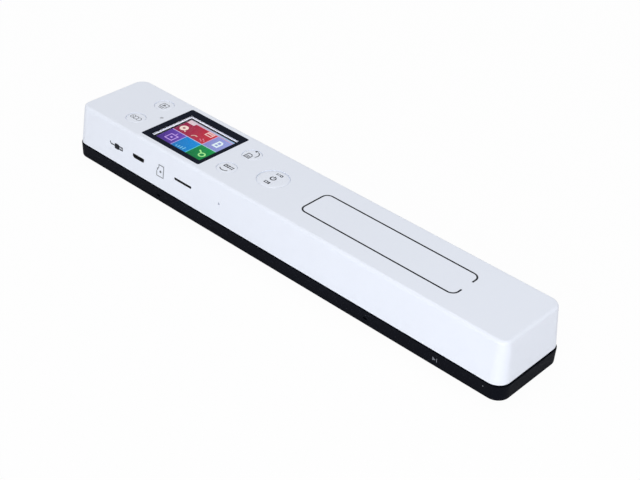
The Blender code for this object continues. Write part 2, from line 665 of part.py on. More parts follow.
def top_housing():
    """The white shell: one drafted skin with its openings, screw bosses and ribs."""
    outer = [shell_section(SPLIT_Z)]
    for step in range(FILLET_STEPS + 1):
        angle = step / FILLET_STEPS * math.pi / 2
        height = TOP_Z - SHELL_EDGE_RADIUS * (1 - math.sin(angle))
        outer.append(shell_section(height, SHELL_EDGE_RADIUS * (1 - math.cos(angle))))
    shell = loft("top_housing", outer, WHITE_ABS)
    inner = [shell_section(z, SHELL_WALL) for z in (SPLIT_Z - OVERRUN, ROOF_Z)]
    rebate_top = SPLIT_Z + LIP_HEIGHT + SEAT_GAP
    rebate = [shell_section(z, SHELL_SKIRT) for z in (SPLIT_Z - OVERRUN, rebate_top)]
    cut(shell, loft("shell_hollow", inner), loft("shell_rebate", rebate))
    for name, (x, y) in CASE_SCREWS.items():
        foot = SPLIT_Z + SEAT_GAP
        fuse(shell, cylinder(name + "_boss", CASE_BOSS_RADIUS, (x, y, foot), (x, y, ROOF_Z + ROOTING)))
        pilot_top = BASE_Z + CASE_SCREW_LENGTH + OVERRUN
        pilot = cylinder(name + "_pilot", CASE_PILOT_RADIUS, (x, y, foot - OVERRUN), (x, y, pilot_top))
        cut(shell, pilot)
    for name, (x, y) in BOARD_SCREWS.items():
        foot = BOARD_TOP_Z + SEAT_GAP
        boss = cylinder(name + "_board_boss", BOARD_BOSS_RADIUS, (x, y, foot), (x, y, ROOF_Z + ROOTING))
        pilot_top = BOARD_Z - SEAT_GAP + BOARD_SCREW_LENGTH + SEAT_GAP
        pilot = cylinder(name + "_board_pilot", CASE_PILOT_RADIUS, (x, y, foot - OVERRUN), (x, y, pilot_top))
        fuse(shell, boss)
        cut(shell, pilot)
    for side, x in (("left", BATTERY_X - SEAT_GAP - SHELL_RIB), ("right", BATTERY_X + BATTERY_LENGTH + SEAT_GAP)):
        low = (x, -BATTERY_PAD_WIDTH / 2, ROOF_Z - SHELL_RIB_DEPTH)
        high = (x + SHELL_RIB, BATTERY_PAD_WIDTH / 2, ROOF_Z + ROOTING)
        rib = box(side + "_battery_rib", low, high)
        if side == "left":
            span = LEAD_SPACING / 2 + LEAD_RADIUS + SEAT_GAP
            gate_low = (x - OVERRUN, -span, low[2] - OVERRUN)
            gate = box("lead_gate", gate_low, (x + SHELL_RIB + OVERRUN, span, ROOF_Z - OVERRUN))
            cut(rib, gate)
        fuse(shell, rib)
    cut(shell, *window_cutters())
    for name, (x, y, radius) in BUTTONS.items():
        cut(shell, roof_hole(name + "_hole", x, y, radius + RUNNING_GAP, FINE_SIDES))
    cut(shell, roof_hole("lamp_hole", LAMP_X, CONTROLS_Y, LIGHT_PIPE_RADIUS + RUNNING_GAP, SMALL_SIDES))
    depth = SHELL_WALL + SHELL_SIDE_DRAFT + 2 * OVERRUN
    usb_place = (USB_X, -WIDTH / 2 - OVERRUN + depth / 2, USB_Z)
    usb_opening = usb_outline(USB_OPENING_WIDTH, USB_OPENING_FOOT, USB_OPENING_HEIGHT)
    cut(shell, outline_plate("usb_opening", usb_opening, depth, turn=UPRIGHT, place=usb_place))
    cut(shell, front_cutter("card_slot", CARD_X, CARD_SLOT_Z, CARD_SLOT_WIDTH, CARD_SLOT_HEIGHT))
    hole_end = front_wall_y(RESET_Z, SHELL_WALL + OVERRUN)
    start = (RESET_X, -WIDTH / 2 - OVERRUN, RESET_Z)
    cut(shell, cylinder("reset_hole", RESET_HOLE_RADIUS, start, (RESET_X, hole_end, RESET_Z), axis="Y"))


def bearing_block(name, side_x, side_y):
    """The block on the base that a bushing snaps down into."""
    x, y = side_x * BLOCK_X, side_y * AXLE_Y
    hole = BUSHING_RADIUS + PRESS_GAP
    half_x = BUSHING_LENGTH / 2 - BUSHING_FLANGE_WIDTH / 2 - SEAT_GAP
    middle = x + side_x * (BUSHING_FLANGE_WIDTH + SEAT_GAP) / 2
    low = (middle - half_x, y - hole - BLOCK_WALL, FLOOR_Z - ROOTING)
    high = (middle + half_x, y + hole + BLOCK_WALL, AXLE_Z + hole + BLOCK_CROWN)
    block = box(name, low, high)
    start = (low[0] - OVERRUN, y, AXLE_Z)
    end = (high[0] + OVERRUN, y, AXLE_Z)
    bore = cylinder(name + "_bore", hole, start, end, sides=FINE_SIDES, axis="X")
    slot_low = (low[0] - OVERRUN, y - BLOCK_SNAP_WIDTH / 2, AXLE_Z)
    slot = box(name + "_slot", slot_low, (high[0] + OVERRUN, y + BLOCK_SNAP_WIDTH / 2, high[2] + OVERRUN))
    return block, bore, slot


BRACKET_X = GEAR_X - GEAR_WIDTH / 2 - WHEEL_SIDE_GAP - BRACKET_THICKNESS
WHEEL_DISC_X = GEAR_X + GEAR_WIDTH / 2 + WHEEL_HUB_LENGTH
WHEEL_END_X = WHEEL_DISC_X + WHEEL_THICKNESS


def encoder_bracket(base):
    """The bracket that stands on the base, with the pin that the slotted wheel turns on."""
    post_front = -AXLE_Y + AXLE_RADIUS + BRACKET_POST_GAP
    post_rear = -SENSOR_WIDTH / 2 - BRACKET_POST_GAP
    top = WHEEL_Z + BRACKET_ARM
    right = BRACKET_X + BRACKET_THICKNESS
    fuse(base, box("bracket_post", (BRACKET_X, post_front, FLOOR_Z - ROOTING), (right, post_rear, top)))
    arm_low = (BRACKET_X + ROOTING / 2, -AXLE_Y - BRACKET_ARM, WHEEL_Z - BRACKET_ARM)
    arm_high = (right - ROOTING / 2, post_front + ROOTING, top - ROOTING / 2)
    fuse(base, box("bracket_arm", arm_low, arm_high))
    pin_end = WHEEL_END_X + SEAT_GAP + ROOTING
    start = (right - ROOTING * 2, -AXLE_Y, WHEEL_Z)
    fuse(base, cylinder("wheel_pin", WHEEL_PIN_RADIUS, start, (pin_end, -AXLE_Y, WHEEL_Z), axis="X"))
    head_start = WHEEL_END_X + SEAT_GAP
    head_end = (head_start + WHEEL_PIN_HEAD_LENGTH, -AXLE_Y, WHEEL_Z)
    start = (head_start, -AXLE_Y, WHEEL_Z)
    fuse(base, cylinder("wheel_pin_head", WHEEL_PIN_HEAD_RADIUS, start, head_end, axis="X"))


def gear_outer(teeth):
    return GEAR_MODULE * (teeth / 2 + ADDENDUM_MODULES_SHARE)


def base_housing():
    """The black tray: floor, walls and lip, with bearing blocks, bosses and openings."""
    outer = []
    for step in range(FILLET_STEPS + 1):
        angle = step / FILLET_STEPS * math.pi / 2
        height = BASE_Z + BASE_EDGE_RADIUS * (1 - math.cos(angle))
        outer.append(base_section(height, BASE_EDGE_RADIUS * (1 - math.sin(angle))))
    outer.append(base_section(RIM_Z))
    base = loft("base_housing", outer, BLACK_ABS)
    lip_outer = SHELL_SKIRT + SEAT_GAP
    lip = [shell_section(z, lip_outer) for z in (RIM_Z - ROOTING, SPLIT_Z + LIP_HEIGHT)]
    hollow_inset = lip_outer + LIP_THICKNESS
    hollow = [base_section(FLOOR_Z, hollow_inset), base_section(SPLIT_Z, hollow_inset)]
    hollow.append(shell_section(SPLIT_Z + LIP_HEIGHT + OVERRUN, hollow_inset))
    fuse(base, loft("base_lip", lip))
    cut(base, loft("base_hollow", hollow))
    pocket_inner = ROLLER_INNER_X - ROLLER_POCKET_GAP
    pocket_outer = BLOCK_X - BUSHING_LENGTH / 2 + BUSHING_FLANGE_WIDTH + SEAT_GAP / 2
    for side_x, end_name in ((-1, "left"), (1, "right")):
        for side_y, row_name in ((-1, "front"), (1, "rear")):
            name = end_name + "_" + row_name
            block, bore, slot = bearing_block(name + "_block", side_x, side_y)
            fuse(base, block)
            cut(base, bore, slot)
            chord = math.sqrt(ROLLER_RADIUS**2 - (AXLE_Z - FLOOR_Z) ** 2)
            centre = (side_x * (pocket_inner + pocket_outer) / 2, side_y * AXLE_Y, BASE_Z + BASE_FLOOR / 2)
            size = (pocket_outer - pocket_inner, 2 * (chord + ROLLER_POCKET_GAP), BASE_FLOOR + 2 * OVERRUN)
            cut(base, box_at(name + "_roller_pocket", centre, size))
    glass_size = (GLASS_LENGTH + 2 * SEAT_GAP, GLASS_WIDTH + 2 * SEAT_GAP, BASE_FLOOR + 2 * OVERRUN)
    cut(base, box_at("scan_opening", (SENSOR_X, 0, BASE_Z + BASE_FLOOR / 2), glass_size))
    for name, (x, y) in CASE_SCREWS.items():
        boss = cylinder(name + "_post", CASE_BOSS_RADIUS, (x, y, FLOOR_Z - ROOTING), (x, y, SPLIT_Z))
        through = cylinder(name + "_way", CASE_PILOT_RADIUS, (x, y, BASE_Z - OVERRUN), (x, y, SPLIT_Z + OVERRUN))
        seat_z = BASE_Z + CASE_COUNTERBORE_DEPTH
        bore = cylinder(name + "_counterbore", CASE_COUNTERBORE_RADIUS, (x, y, BASE_Z - OVERRUN), (x, y, seat_z))
        fuse(base, boss)
        cut(base, through, bore)
    encoder_bracket(base)
    relief = gear_outer(DRIVE_TEETH) + GEAR_RELIEF_GAP
    relief_half = GEAR_WIDTH / 2 + GEAR_RELIEF_GAP / 2
    relief_low = (GEAR_X - relief_half, -AXLE_Y - relief, AXLE_Z - relief)
    relief_high = (GEAR_X + relief_half, -AXLE_Y + AXLE_RADIUS, FLOOR_Z + OVERRUN)
    cut(base, box("gear_relief", relief_low, relief_high))
    for side in (-1, 1):
        x = SIDE_NOTCH_SHIFT + side * SIDE_NOTCH_SPREAD
        z = BASE_Z + SIDE_NOTCH_RISE
        face = -base_section(z)[1]
        centre = (x, face, z)
        cut(base, box_at(f"side_notch_{side}", centre, (SIDE_NOTCH_WIDTH, 2 * SIDE_NOTCH_DEPTH, SIDE_NOTCH_HEIGHT)))


def display():
    """The window, and the display panel in its frame under it."""
    half_x, half_y = WINDOW_LENGTH / 2, WINDOW_WIDTH / 2
    low = (DISPLAY_X - half_x, CONTROLS_Y - half_y, FACE_Z - WINDOW_THICKNESS)
    high = (DISPLAY_X + half_x, CONTROLS_Y + half_y, FACE_Z)
    box("display_window", low, high, SMOKED, radius=WINDOW_CORNER_RADIUS)
    half_x, half_y = DISPLAY_FRAME_LENGTH / 2, DISPLAY_FRAME_WIDTH / 2
    low = (DISPLAY_X - half_x, CONTROLS_Y - half_y, FRAME_Z)
    high = (DISPLAY_X + half_x, CONTROLS_Y + half_y, FRAME_TOP_Z)
    frame = box("display_frame", low, high, WHITE_ABS)
    panel_top = FRAME_TOP_Z - DISPLAY_PANEL_DROP
    tray_z = panel_top - DISPLAY_PANEL_THICKNESS - SEAT_GAP
    wall = DISPLAY_FRAME_WALL
    tray_low = (low[0] + wall, low[1] + wall, tray_z)
    tray_high = (high[0] - wall, high[1] - wall, FRAME_TOP_Z + OVERRUN)
    under_low = (low[0] + wall, low[1] + wall, FRAME_Z - OVERRUN)
    under_high = (high[0] - wall, high[1] - wall, tray_z - DISPLAY_FRAME_FLOOR)
    cut(frame, box("panel_tray", tray_low, tray_high), box("frame_hollow", under_low, under_high))
    panel_low = (tray_low[0] + SEAT_GAP, tray_low[1] + SEAT_GAP, tray_z + SEAT_GAP)
    box("display_panel", panel_low, (tray_high[0] - SEAT_GAP, tray_high[1] - SEAT_GAP, panel_top), SCREEN)


def button(name, x, y, radius, dished):
    """A button cap, and the switch under it with the plunger that the cap pushes."""
    flange = radius + BUTTON_FLANGE
    stem_z = PLUNGER_TOP_Z + SEAT_GAP
    face = [(0, FACE_Z)]
    if dished:
        dish = radius * BUTTON_DISH_SHARE
        floor_z = FACE_Z - BUTTON_DISH_DEPTH
        face = [(0, floor_z), (dish - BUTTON_DISH_DEPTH, floor_z), (dish, FACE_Z)]
    profile = [
        *face,
        (radius - BUTTON_EDGE, FACE_Z),
        (radius, FACE_Z - BUTTON_EDGE),
        (radius, FLANGE_TOP_Z),
        (flange, FLANGE_TOP_Z),
        (flange, FLANGE_Z),
        (BUTTON_STEM_RADIUS, FLANGE_Z),
        (BUTTON_STEM_RADIUS, stem_z),
        (0, stem_z),
    ]
    sides = FINE_SIDES if dished else ROUND_SIDES
    turned(name + "_button", profile, WHITE_ABS, sides=sides, place=(x, y, 0))
    half = SWITCH_SIDE / 2
    body = box(
        name + "_switch", (-half, -half, FRAME_Z), (half, half, SWITCH_TOP_Z), BLACK_CHIP, place=(x, y, 0)
    )
    well_z = FRAME_Z + SWITCH_FLOOR
    well = cylinder(
        name + "_well", PLUNGER_RADIUS + SEAT_GAP, (x, y, well_z), (x, y, SWITCH_TOP_Z + OVERRUN)
    )
    cut(body, well)
    plunger_z = well_z + PLUNGER_REST_GAP
    cylinder(
        name + "_plunger",
        PLUNGER_RADIUS,
        (0, 0, plunger_z),
        (0, 0, PLUNGER_TOP_Z),
        BLACK_ABS,
        place=(x, y, 0),
    )


def status_lamp():
    """The lamp on the board and the light pipe that carries its light to the roof."""
    low = (LAMP_X - LAMP_LENGTH / 2, CONTROLS_Y - LAMP_WIDTH / 2, FRAME_Z)
    high = (LAMP_X + LAMP_LENGTH / 2, CONTROLS_Y + LAMP_WIDTH / 2, FRAME_Z + LAMP_HEIGHT)
    box("status_lamp", low, high, GLASS)
    profile = [
        (0, FACE_Z),
        (LIGHT_PIPE_RADIUS, FACE_Z),
        (LIGHT_PIPE_RADIUS, FLANGE_TOP_Z),
        (LIGHT_PIPE_COLLAR_RADIUS, FLANGE_TOP_Z),
        (LIGHT_PIPE_COLLAR_RADIUS, FLANGE_TOP_Z - LIGHT_PIPE_COLLAR_HEIGHT),
        (LIGHT_PIPE_RADIUS, FLANGE_TOP_Z - LIGHT_PIPE_COLLAR_HEIGHT),
        (LIGHT_PIPE_RADIUS, high[2] + SEAT_GAP),
        (0, high[2] + SEAT_GAP),
    ]
    turned("status_light_pipe", profile, GLASS, place=(LAMP_X, CONTROLS_Y, 0))


def main_board():
    """The board that carries the display, switches and sockets, and its processor."""
    low = (BOARD_LEFT, -BOARD_WIDTH / 2, BOARD_Z)
    high = (BOARD_RIGHT, BOARD_WIDTH / 2, BOARD_TOP_Z)
    board = box("main_board", low, high, BOARD_GREEN, radius=BOARD_CORNER_RADIUS, steps=FILLET_STEPS)
    for name, (x, y) in BOARD_SCREWS.items():
        start = (x, y, BOARD_Z - OVERRUN)
        hole = cylinder(name + "_board_hole", BOARD_SCREW_HOLE_RADIUS, start, (x, y, BOARD_TOP_Z + OVERRUN))
        cut(board, hole)
    x = DISPLAY_X - PROCESSOR_FROM_WINDOW
    top = SOCKET_TOP_Z
    low = (x - PROCESSOR_SIDE / 2, CONTROLS_Y - PROCESSOR_SIDE / 2, top - PROCESSOR_HEIGHT)
    high = (x + PROCESSOR_SIDE / 2, CONTROLS_Y + PROCESSOR_SIDE / 2, top)
    box("processor", low, high, BLACK_CHIP)


def usb_socket():
    """The socket's folded shell and the tongue inside it, under the board's front edge."""
    middle_y = USB_MOUTH_Y + USB_DEPTH / 2
    outside = usb_outline(USB_WIDTH, USB_FOOT_WIDTH, USB_HEIGHT)
    place = (USB_X, middle_y, USB_Z)
    shell = outline_plate("usb_socket_shell", outside, USB_DEPTH, STEEL, turn=UPRIGHT, place=place)
    hollow_y = middle_y - USB_BACK_THICKNESS - SEAT_GAP
    sheets = 2 * USB_SHEET
    inside = usb_outline(USB_WIDTH - sheets, USB_FOOT_WIDTH - USB_SHEET, USB_HEIGHT - sheets)
    mouth = outline_plate("usb_hollow", inside, USB_DEPTH, turn=UPRIGHT, place=(USB_X, hollow_y, USB_Z))
    cut(shell, mouth)
    back_y = hollow_y + USB_DEPTH / 2 - SEAT_GAP
    half = USB_TONGUE_THICKNESS / 2
    low = (USB_X - USB_TONGUE_WIDTH / 2, USB_MOUTH_Y + USB_BACK_THICKNESS, USB_Z - half)
    tongue = box("usb_socket_tongue", low, (USB_X + USB_TONGUE_WIDTH / 2, back_y, USB_Z + half), BLACK_CHIP)
    foot_half = USB_HEIGHT / 2 - USB_SHEET - PRESS_GAP
    foot_low = (low[0] + ROOTING, back_y - USB_BACK_THICKNESS, USB_Z - foot_half)
    foot_high = (USB_X + USB_TONGUE_WIDTH / 2 - ROOTING, back_y - USB_SHEET / 2, USB_Z + foot_half)
    fuse(tongue, box("tongue_foot", foot_low, foot_high))


def card_socket():
    """The card socket: a plastic base on the board and a sheet cover under it."""
    half_x = CARD_SLOT_WIDTH / 2 + CARD_SHEET + SEAT_GAP
    front = front_wall_y(CARD_SLOT_Z, SHELL_WALL + SEAT_GAP)
    rear = front + CARD_SOCKET_DEPTH
    cover = box(
        "card_socket_cover", (CARD_X - half_x, front, CARD_COVER_Z), (CARD_X + half_x, rear, SOCKET_TOP_Z), STEEL
    )
    inner = half_x - CARD_SHEET
    hollow_low = (CARD_X - inner, front - OVERRUN, CARD_COVER_Z + CARD_SHEET)
    cut(cover, box("card_way", hollow_low, (CARD_X + inner, rear - CARD_SHEET, SOCKET_TOP_Z + OVERRUN)))
    base_half = inner - SEAT_GAP
    base_low = (CARD_X - base_half, front, SOCKET_TOP_Z - CARD_BASE_THICKNESS)
    box("card_socket_base", base_low, (CARD_X + base_half, rear - CARD_SHEET - SEAT_GAP, SOCKET_TOP_Z), BLACK_CHIP)


def reset_switch():
    """The side switch behind the pinhole, and the plunger that a pin pushes in."""
    body_front = RESET_TIP_Y + RESET_PLUNGER_PROUD
    half_x, half_z = RESET_BODY_LENGTH / 2, RESET_BODY_HEIGHT / 2
    low = (RESET_X - half_x, body_front, RESET_Z - half_z)
    high = (RESET_X + half_x, body_front + RESET_BODY_DEPTH, RESET_Z + half_z)
    body = box("reset_switch", low, high, BLACK_CHIP)
    way_x = RESET_PLUNGER_WIDTH / 2 + PRESS_GAP
    way_z = RESET_PLUNGER_HEIGHT / 2 + PRESS_GAP
    way_end = body_front + RESET_PLUNGER_DEPTH + RESET_TRAVEL + PRESS_GAP
    way_low = (RESET_X - way_x, body_front - OVERRUN, RESET_Z - way_z)
    cut(body, box("plunger_way", way_low, (RESET_X + way_x, way_end, RESET_Z + way_z)))
    half_x, half_z = RESET_PLUNGER_WIDTH / 2, RESET_PLUNGER_HEIGHT / 2
    length = RESET_PLUNGER_PROUD + RESET_PLUNGER_DEPTH
    place = (RESET_X, RESET_TIP_Y, RESET_Z)
    box("reset_plunger", (-half_x, 0, -half_z), (half_x, length, half_z), BLACK_ABS, place=place)


def battery():
    """The battery under the roof, the pad that sticks it there and its two leads."""
    pad_top = ROOF_Z - SEAT_GAP
    pad_z = pad_top - BATTERY_PAD_THICKNESS
    top = pad_z - SEAT_GAP
    middle = BATTERY_X + BATTERY_LENGTH / 2
    low = (BATTERY_X, -BATTERY_WIDTH / 2, top - BATTERY_THICKNESS)
    cell = box("battery", low, (BATTERY_X + BATTERY_LENGTH, BATTERY_WIDTH / 2, top), FOIL)
    bevel = cell.modifiers.new("Soft edges", "BEVEL")
    bevel.width = BATTERY_EDGE_RADIUS
    bevel.segments = 3
    bevel.limit_method = "ANGLE"
    pad_size = (BATTERY_PAD_LENGTH, BATTERY_PAD_WIDTH, BATTERY_PAD_THICKNESS)
    box_at("battery_pad", (middle, 0, pad_z + BATTERY_PAD_THICKNESS / 2), pad_size, FOAM)
    start_x = BATTERY_X - SEAT_GAP
    end_x = BOARD_RIGHT - LEAD_LANDING
    start_z = top - BATTERY_THICKNESS / 2
    end_z = BOARD_TOP_Z + SEAT_GAP + LEAD_RADIUS
    for name, side, look in (("positive", -1, RED_PVC), ("negative", 1, BLACK_PVC)):
        points = []
        for step in range(LEAD_STEPS + 1):
            share = step / LEAD_STEPS
            blend = share * share * (3 - 2 * share)
            x = start_x + (end_x - start_x) * share
            z = start_z + (end_z - start_z) * blend
            points.append((x, side * LEAD_SPACING / 2, z))
        wire("battery_lead_" + name, points, LEAD_RADIUS, look)


def image_sensor():
    """The contact image sensor: housing, glass, light guide, lens array and its board."""
    half_x, half_y = SENSOR_LENGTH / 2, SENSOR_WIDTH / 2
    housing = box_at(
        "sensor_housing",
        (SENSOR_X, 0, SENSOR_Z + SENSOR_HEIGHT / 2),
        (SENSOR_LENGTH, SENSOR_WIDTH, SENSOR_HEIGHT),
        BLACK_ABS,
    )
    glass_z = BASE_Z + GLASS_RECESS
    glass_top = glass_z + GLASS_THICKNESS
    seat_half_x = GLASS_LENGTH / 2 + SEAT_GAP
    seat_half_y = GLASS_WIDTH / 2 + SEAT_GAP
    seat_low = (SENSOR_X - seat_half_x, -seat_half_y, SENSOR_Z - OVERRUN)
    seat_z = glass_top + SEAT_GAP
    cut(housing, box("glass_seat", seat_low, (SENSOR_X + seat_half_x, seat_half_y, seat_z)))
    box_at(
        "sensor_glass",
        (SENSOR_X, 0, glass_z + GLASS_THICKNESS / 2),
        (GLASS_LENGTH, GLASS_WIDTH, GLASS_THICKNESS),
        GLASS,
    )
    lens_half = LENS_WIDTH / 2
    slot_half = lens_half + SEAT_GAP
    guide_way = LIGHT_GUIDE_RADIUS + LIGHT_GUIDE_GAP
    lens_y = guide_way + SENSOR_WEB / 2 - slot_half
    guide_y = lens_y - slot_half - SENSOR_WEB - guide_way
    board_z = SENSOR_TOP_Z - SENSOR_BOARD_THICKNESS
    slot_x = LENS_LENGTH / 2 + SEAT_GAP
    slot_low = (SENSOR_X - slot_x, lens_y - slot_half, seat_z - OVERRUN)
    cut(housing, box("lens_slot", slot_low, (SENSOR_X + slot_x, lens_y + slot_half, SENSOR_TOP_Z)))
    guide_z = seat_z + LIGHT_GUIDE_GAP + LIGHT_GUIDE_RADIUS
    way_low = (SENSOR_X - slot_x, guide_y - guide_way, seat_z - OVERRUN)
    way_top = guide_z + guide_way
    cut(housing, box("light_way", way_low, (SENSOR_X + slot_x, guide_y + guide_way, way_top)))
    tray_half_x = SENSOR_BOARD_LENGTH / 2 + SEAT_GAP
    tray_half_y = SENSOR_BOARD_WIDTH / 2 + SEAT_GAP
    tray_low = (SENSOR_X - tray_half_x, -tray_half_y, board_z - SEAT_GAP)
    cut(housing, box("board_tray", tray_low, (SENSOR_X + tray_half_x, tray_half_y, SENSOR_TOP_Z + OVERRUN)))
    start = (SENSOR_X - LIGHT_GUIDE_LENGTH / 2, guide_y, guide_z)
    end = (SENSOR_X + LIGHT_GUIDE_LENGTH / 2, guide_y, guide_z)
    cylinder("light_guide", LIGHT_GUIDE_RADIUS, start, end, GLASS, axis="X")
    lens_top = board_z - SEAT_GAP - SEAT_GAP
    lens_low = (SENSOR_X - LENS_LENGTH / 2, lens_y - lens_half, lens_top - LENS_HEIGHT)
    box("rod_lens_array", lens_low, (SENSOR_X + LENS_LENGTH / 2, lens_y + lens_half, lens_top), SMOKED)
    box_at(
        "sensor_board",
        (SENSOR_X, 0, board_z + SENSOR_BOARD_THICKNESS / 2),
        (SENSOR_BOARD_LENGTH, SENSOR_BOARD_WIDTH, SENSOR_BOARD_THICKNESS),
        BOARD_GREEN,
    )


def sensor_ribbon():
    """The flat ribbon that folds up from the sensor's board into its connector."""
    x = DISPLAY_X + CONNECTOR_FROM_DISPLAY
    half_x = CONNECTOR_LENGTH / 2
    top = SOCKET_TOP_Z
    low = (x - half_x, CONNECTOR_Y - CONNECTOR_DEPTH / 2, top - CONNECTOR_HEIGHT)
    high = (x + half_x, CONNECTOR_Y + CONNECTOR_DEPTH / 2, top)
    connector = box("ribbon_connector", low, high, ACETAL)
    slot_z = top - CONNECTOR_HEIGHT / 2
    slot_half = RIBBON_WIDTH / 2 + SEAT_GAP
    slot_y = high[1] - CONNECTOR_SLOT_DEPTH
    slot_low = (x - slot_half, slot_y, slot_z - CONNECTOR_SLOT_HEIGHT / 2)
    slot_high = (x + slot_half, high[1] + OVERRUN, slot_z + CONNECTOR_SLOT_HEIGHT / 2)
    cut(connector, box("ribbon_slot", slot_low, slot_high))
    foot_z = SENSOR_TOP_Z + SEAT_GAP + RIBBON_THICKNESS / 2
    radius = (slot_z - foot_z) / 2
    bend_y = high[1] + RIBBON_REACH - radius
    path = [(SENSOR_BOARD_WIDTH / 2 - RIBBON_REACH, foot_z)]
    for step in range(RIBBON_STEPS + 1):
        angle = (step / RIBBON_STEPS - 1 / 2) * math.pi
        path.append((bend_y + radius * math.cos(angle), foot_z + radius + radius * math.sin(angle)))
    path.append((slot_y + SEAT_GAP, slot_z))
    curve = bpy.data.curves.new("sensor_ribbon", "CURVE")
    curve.dimensions = "3D"
    curve.extrude = RIBBON_WIDTH / 2
    spline = curve.splines.new("POLY")
    spline.points.add(len(path) - 1)
    for point, (y, z) in zip(spline.points, path):
        point.co = (y, z, 0, 1)
    ribbon = make_object("sensor_ribbon", meshed_curve(curve, "sensor_ribbon"), FILM, place=(x, 0, 0))
    ribbon.rotation_euler = ACROSS
    thicken = ribbon.modifiers.new("Film", "SOLIDIFY")
    thicken.thickness = RIBBON_THICKNESS
    thicken.offset = 0
    thicken.use_even_offset = True


def gear_outline(teeth, turn):
    """Straight-sided teeth round a pitch circle; turn is the first tooth's angle."""
    pitch = GEAR_MODULE * teeth / 2
    tip = gear_outer(teeth)
    root = GEAR_MODULE * (teeth / 2 - DEDENDUM_MODULES_SHARE)
    half = (GEAR_MODULE * math.pi / 2 - TOOTH_BACKLASH) / 2
    slope = math.tan(PRESSURE_ANGLE)
    points = []
    for tooth in range(teeth):
        middle = turn + 2 * math.pi * tooth / teeth
        for radius, side in ((root, -1), (tip, -1), (tip, 1), (root, 1)):
            width = half - (radius - pitch) * slope
            angle = middle + side * width / radius
            points.append((radius * math.cos(angle), radius * math.sin(angle)))
    return points


def axle(name, side, with_gear):
    """A steel axle with a rubber roller at each end, in two bushings."""
    centre = axis_empty(name + "_axis", (0, side * AXLE_Y, AXLE_Z))
    half = BLOCK_X + BUSHING_LENGTH / 2 + AXLE_OVERHANG
    rod = [
        (0, half),
        (AXLE_RADIUS - AXLE_CHAMFER, half),
        (AXLE_RADIUS, half - AXLE_CHAMFER),
        (AXLE_RADIUS, -half + AXLE_CHAMFER),
        (AXLE_RADIUS - AXLE_CHAMFER, -half),
        (0, -half),
    ]
    turned(name + "_shaft", rod, STEEL, along_x=True, parent=centre)
    bore = AXLE_RADIUS + PRESS_GAP
    half = ROLLER_WIDTH / 2
    tread = [
        (bore, half),
        (ROLLER_RADIUS - ROLLER_CHAMFER, half),
        (ROLLER_RADIUS, half - ROLLER_CHAMFER),
        (ROLLER_RADIUS, -half + ROLLER_CHAMFER),
        (ROLLER_RADIUS - ROLLER_CHAMFER, -half),
        (bore, -half),
    ]
    inner = AXLE_RADIUS + RUNNING_GAP
    half = BUSHING_LENGTH / 2
    for end_name, end in (("left", -1), ("right", 1)):
        place = (end * ROLLER_X, 0, 0)
        turned(f"{name}_{end_name}_roller", tread, RUBBER, sides=ROUND_SIDES, along_x=True, parent=centre, place=place)
        # The flange lies against the block's inner face.
        flange_z = end * half
        inside_z = end * (BUSHING_FLANGE_WIDTH - half)
        bush = [
            (inner, flange_z),
            (BUSHING_RADIUS, flange_z),
            (BUSHING_RADIUS, inside_z),
            (BUSHING_FLANGE_RADIUS, inside_z),
            (BUSHING_FLANGE_RADIUS, -flange_z),
            (inner, -flange_z),
        ]
        if end < 0:
            bush.reverse()
        place = (end * BLOCK_X, side * AXLE_Y, AXLE_Z)
        turned(f"{name}_{end_name}_bushing", bush, ACETAL, along_x=True, place=place)
    if with_gear:
        outline = gear_outline(DRIVE_TEETH, math.pi / 2)
        gear = outline_plate("drive_gear", outline, GEAR_WIDTH, BRASS, parent=centre, place=(GEAR_X, 0, 0))
        gear.rotation_euler = ACROSS
        ends = [(GEAR_X + s * (GEAR_WIDTH / 2 + OVERRUN), side * AXLE_Y, AXLE_Z) for s in (-1, 1)]
        cut(gear, cylinder("drive_gear_bore", bore, ends[0], ends[1], axis="X"))


def encoder_wheel():
    """The gear and slotted disc in one, which turn on the base's pin over the front axle."""
    centre = axis_empty("encoder_axis", (0, -AXLE_Y, WHEEL_Z))
    outline = gear_outline(WHEEL_TEETH, -math.pi / 2 + math.pi / WHEEL_TEETH)
    wheel = outline_plate("encoder_wheel", outline, GEAR_WIDTH, ACETAL, parent=centre, place=(GEAR_X, 0, 0))
    wheel.rotation_euler = ACROSS
    slots = []
    for slot in range(WHEEL_SLOTS):
        pitch = 2 * math.pi / WHEEL_SLOTS
        edges = (0, 1 - WHEEL_SLOT_SHARE, 1 - WHEEL_SLOT_SHARE, 1)
        radii = (WHEEL_RADIUS, WHEEL_RADIUS, WHEEL_RADIUS - WHEEL_SLOT_DEPTH, WHEEL_RADIUS - WHEEL_SLOT_DEPTH)
        for edge, radius in zip(edges, radii):
            angle = (slot + edge) * pitch
            slots.append((radius * math.cos(angle), radius * math.sin(angle)))
    disc_x = WHEEL_DISC_X + WHEEL_THICKNESS / 2
    disc = outline_plate("encoder_disc", slots, WHEEL_THICKNESS, turn=ACROSS, place=(disc_x, -AXLE_Y, WHEEL_Z))
    hub_start = (GEAR_X, -AXLE_Y, WHEEL_Z)
    hub_end = (WHEEL_END_X - ROOTING / 2, -AXLE_Y, WHEEL_Z)
    hub = cylinder("encoder_hub", WHEEL_HUB_RADIUS, hub_start, hub_end, axis="X")
    fuse(wheel, hub, disc)
    bore_start = (GEAR_X - GEAR_WIDTH / 2 - OVERRUN, -AXLE_Y, WHEEL_Z)
    bore_end = (WHEEL_END_X + OVERRUN, -AXLE_Y, WHEEL_Z)
    cut(wheel, cylinder("encoder_bore", WHEEL_PIN_RADIUS + RUNNING_GAP, bore_start, bore_end, axis="X"))


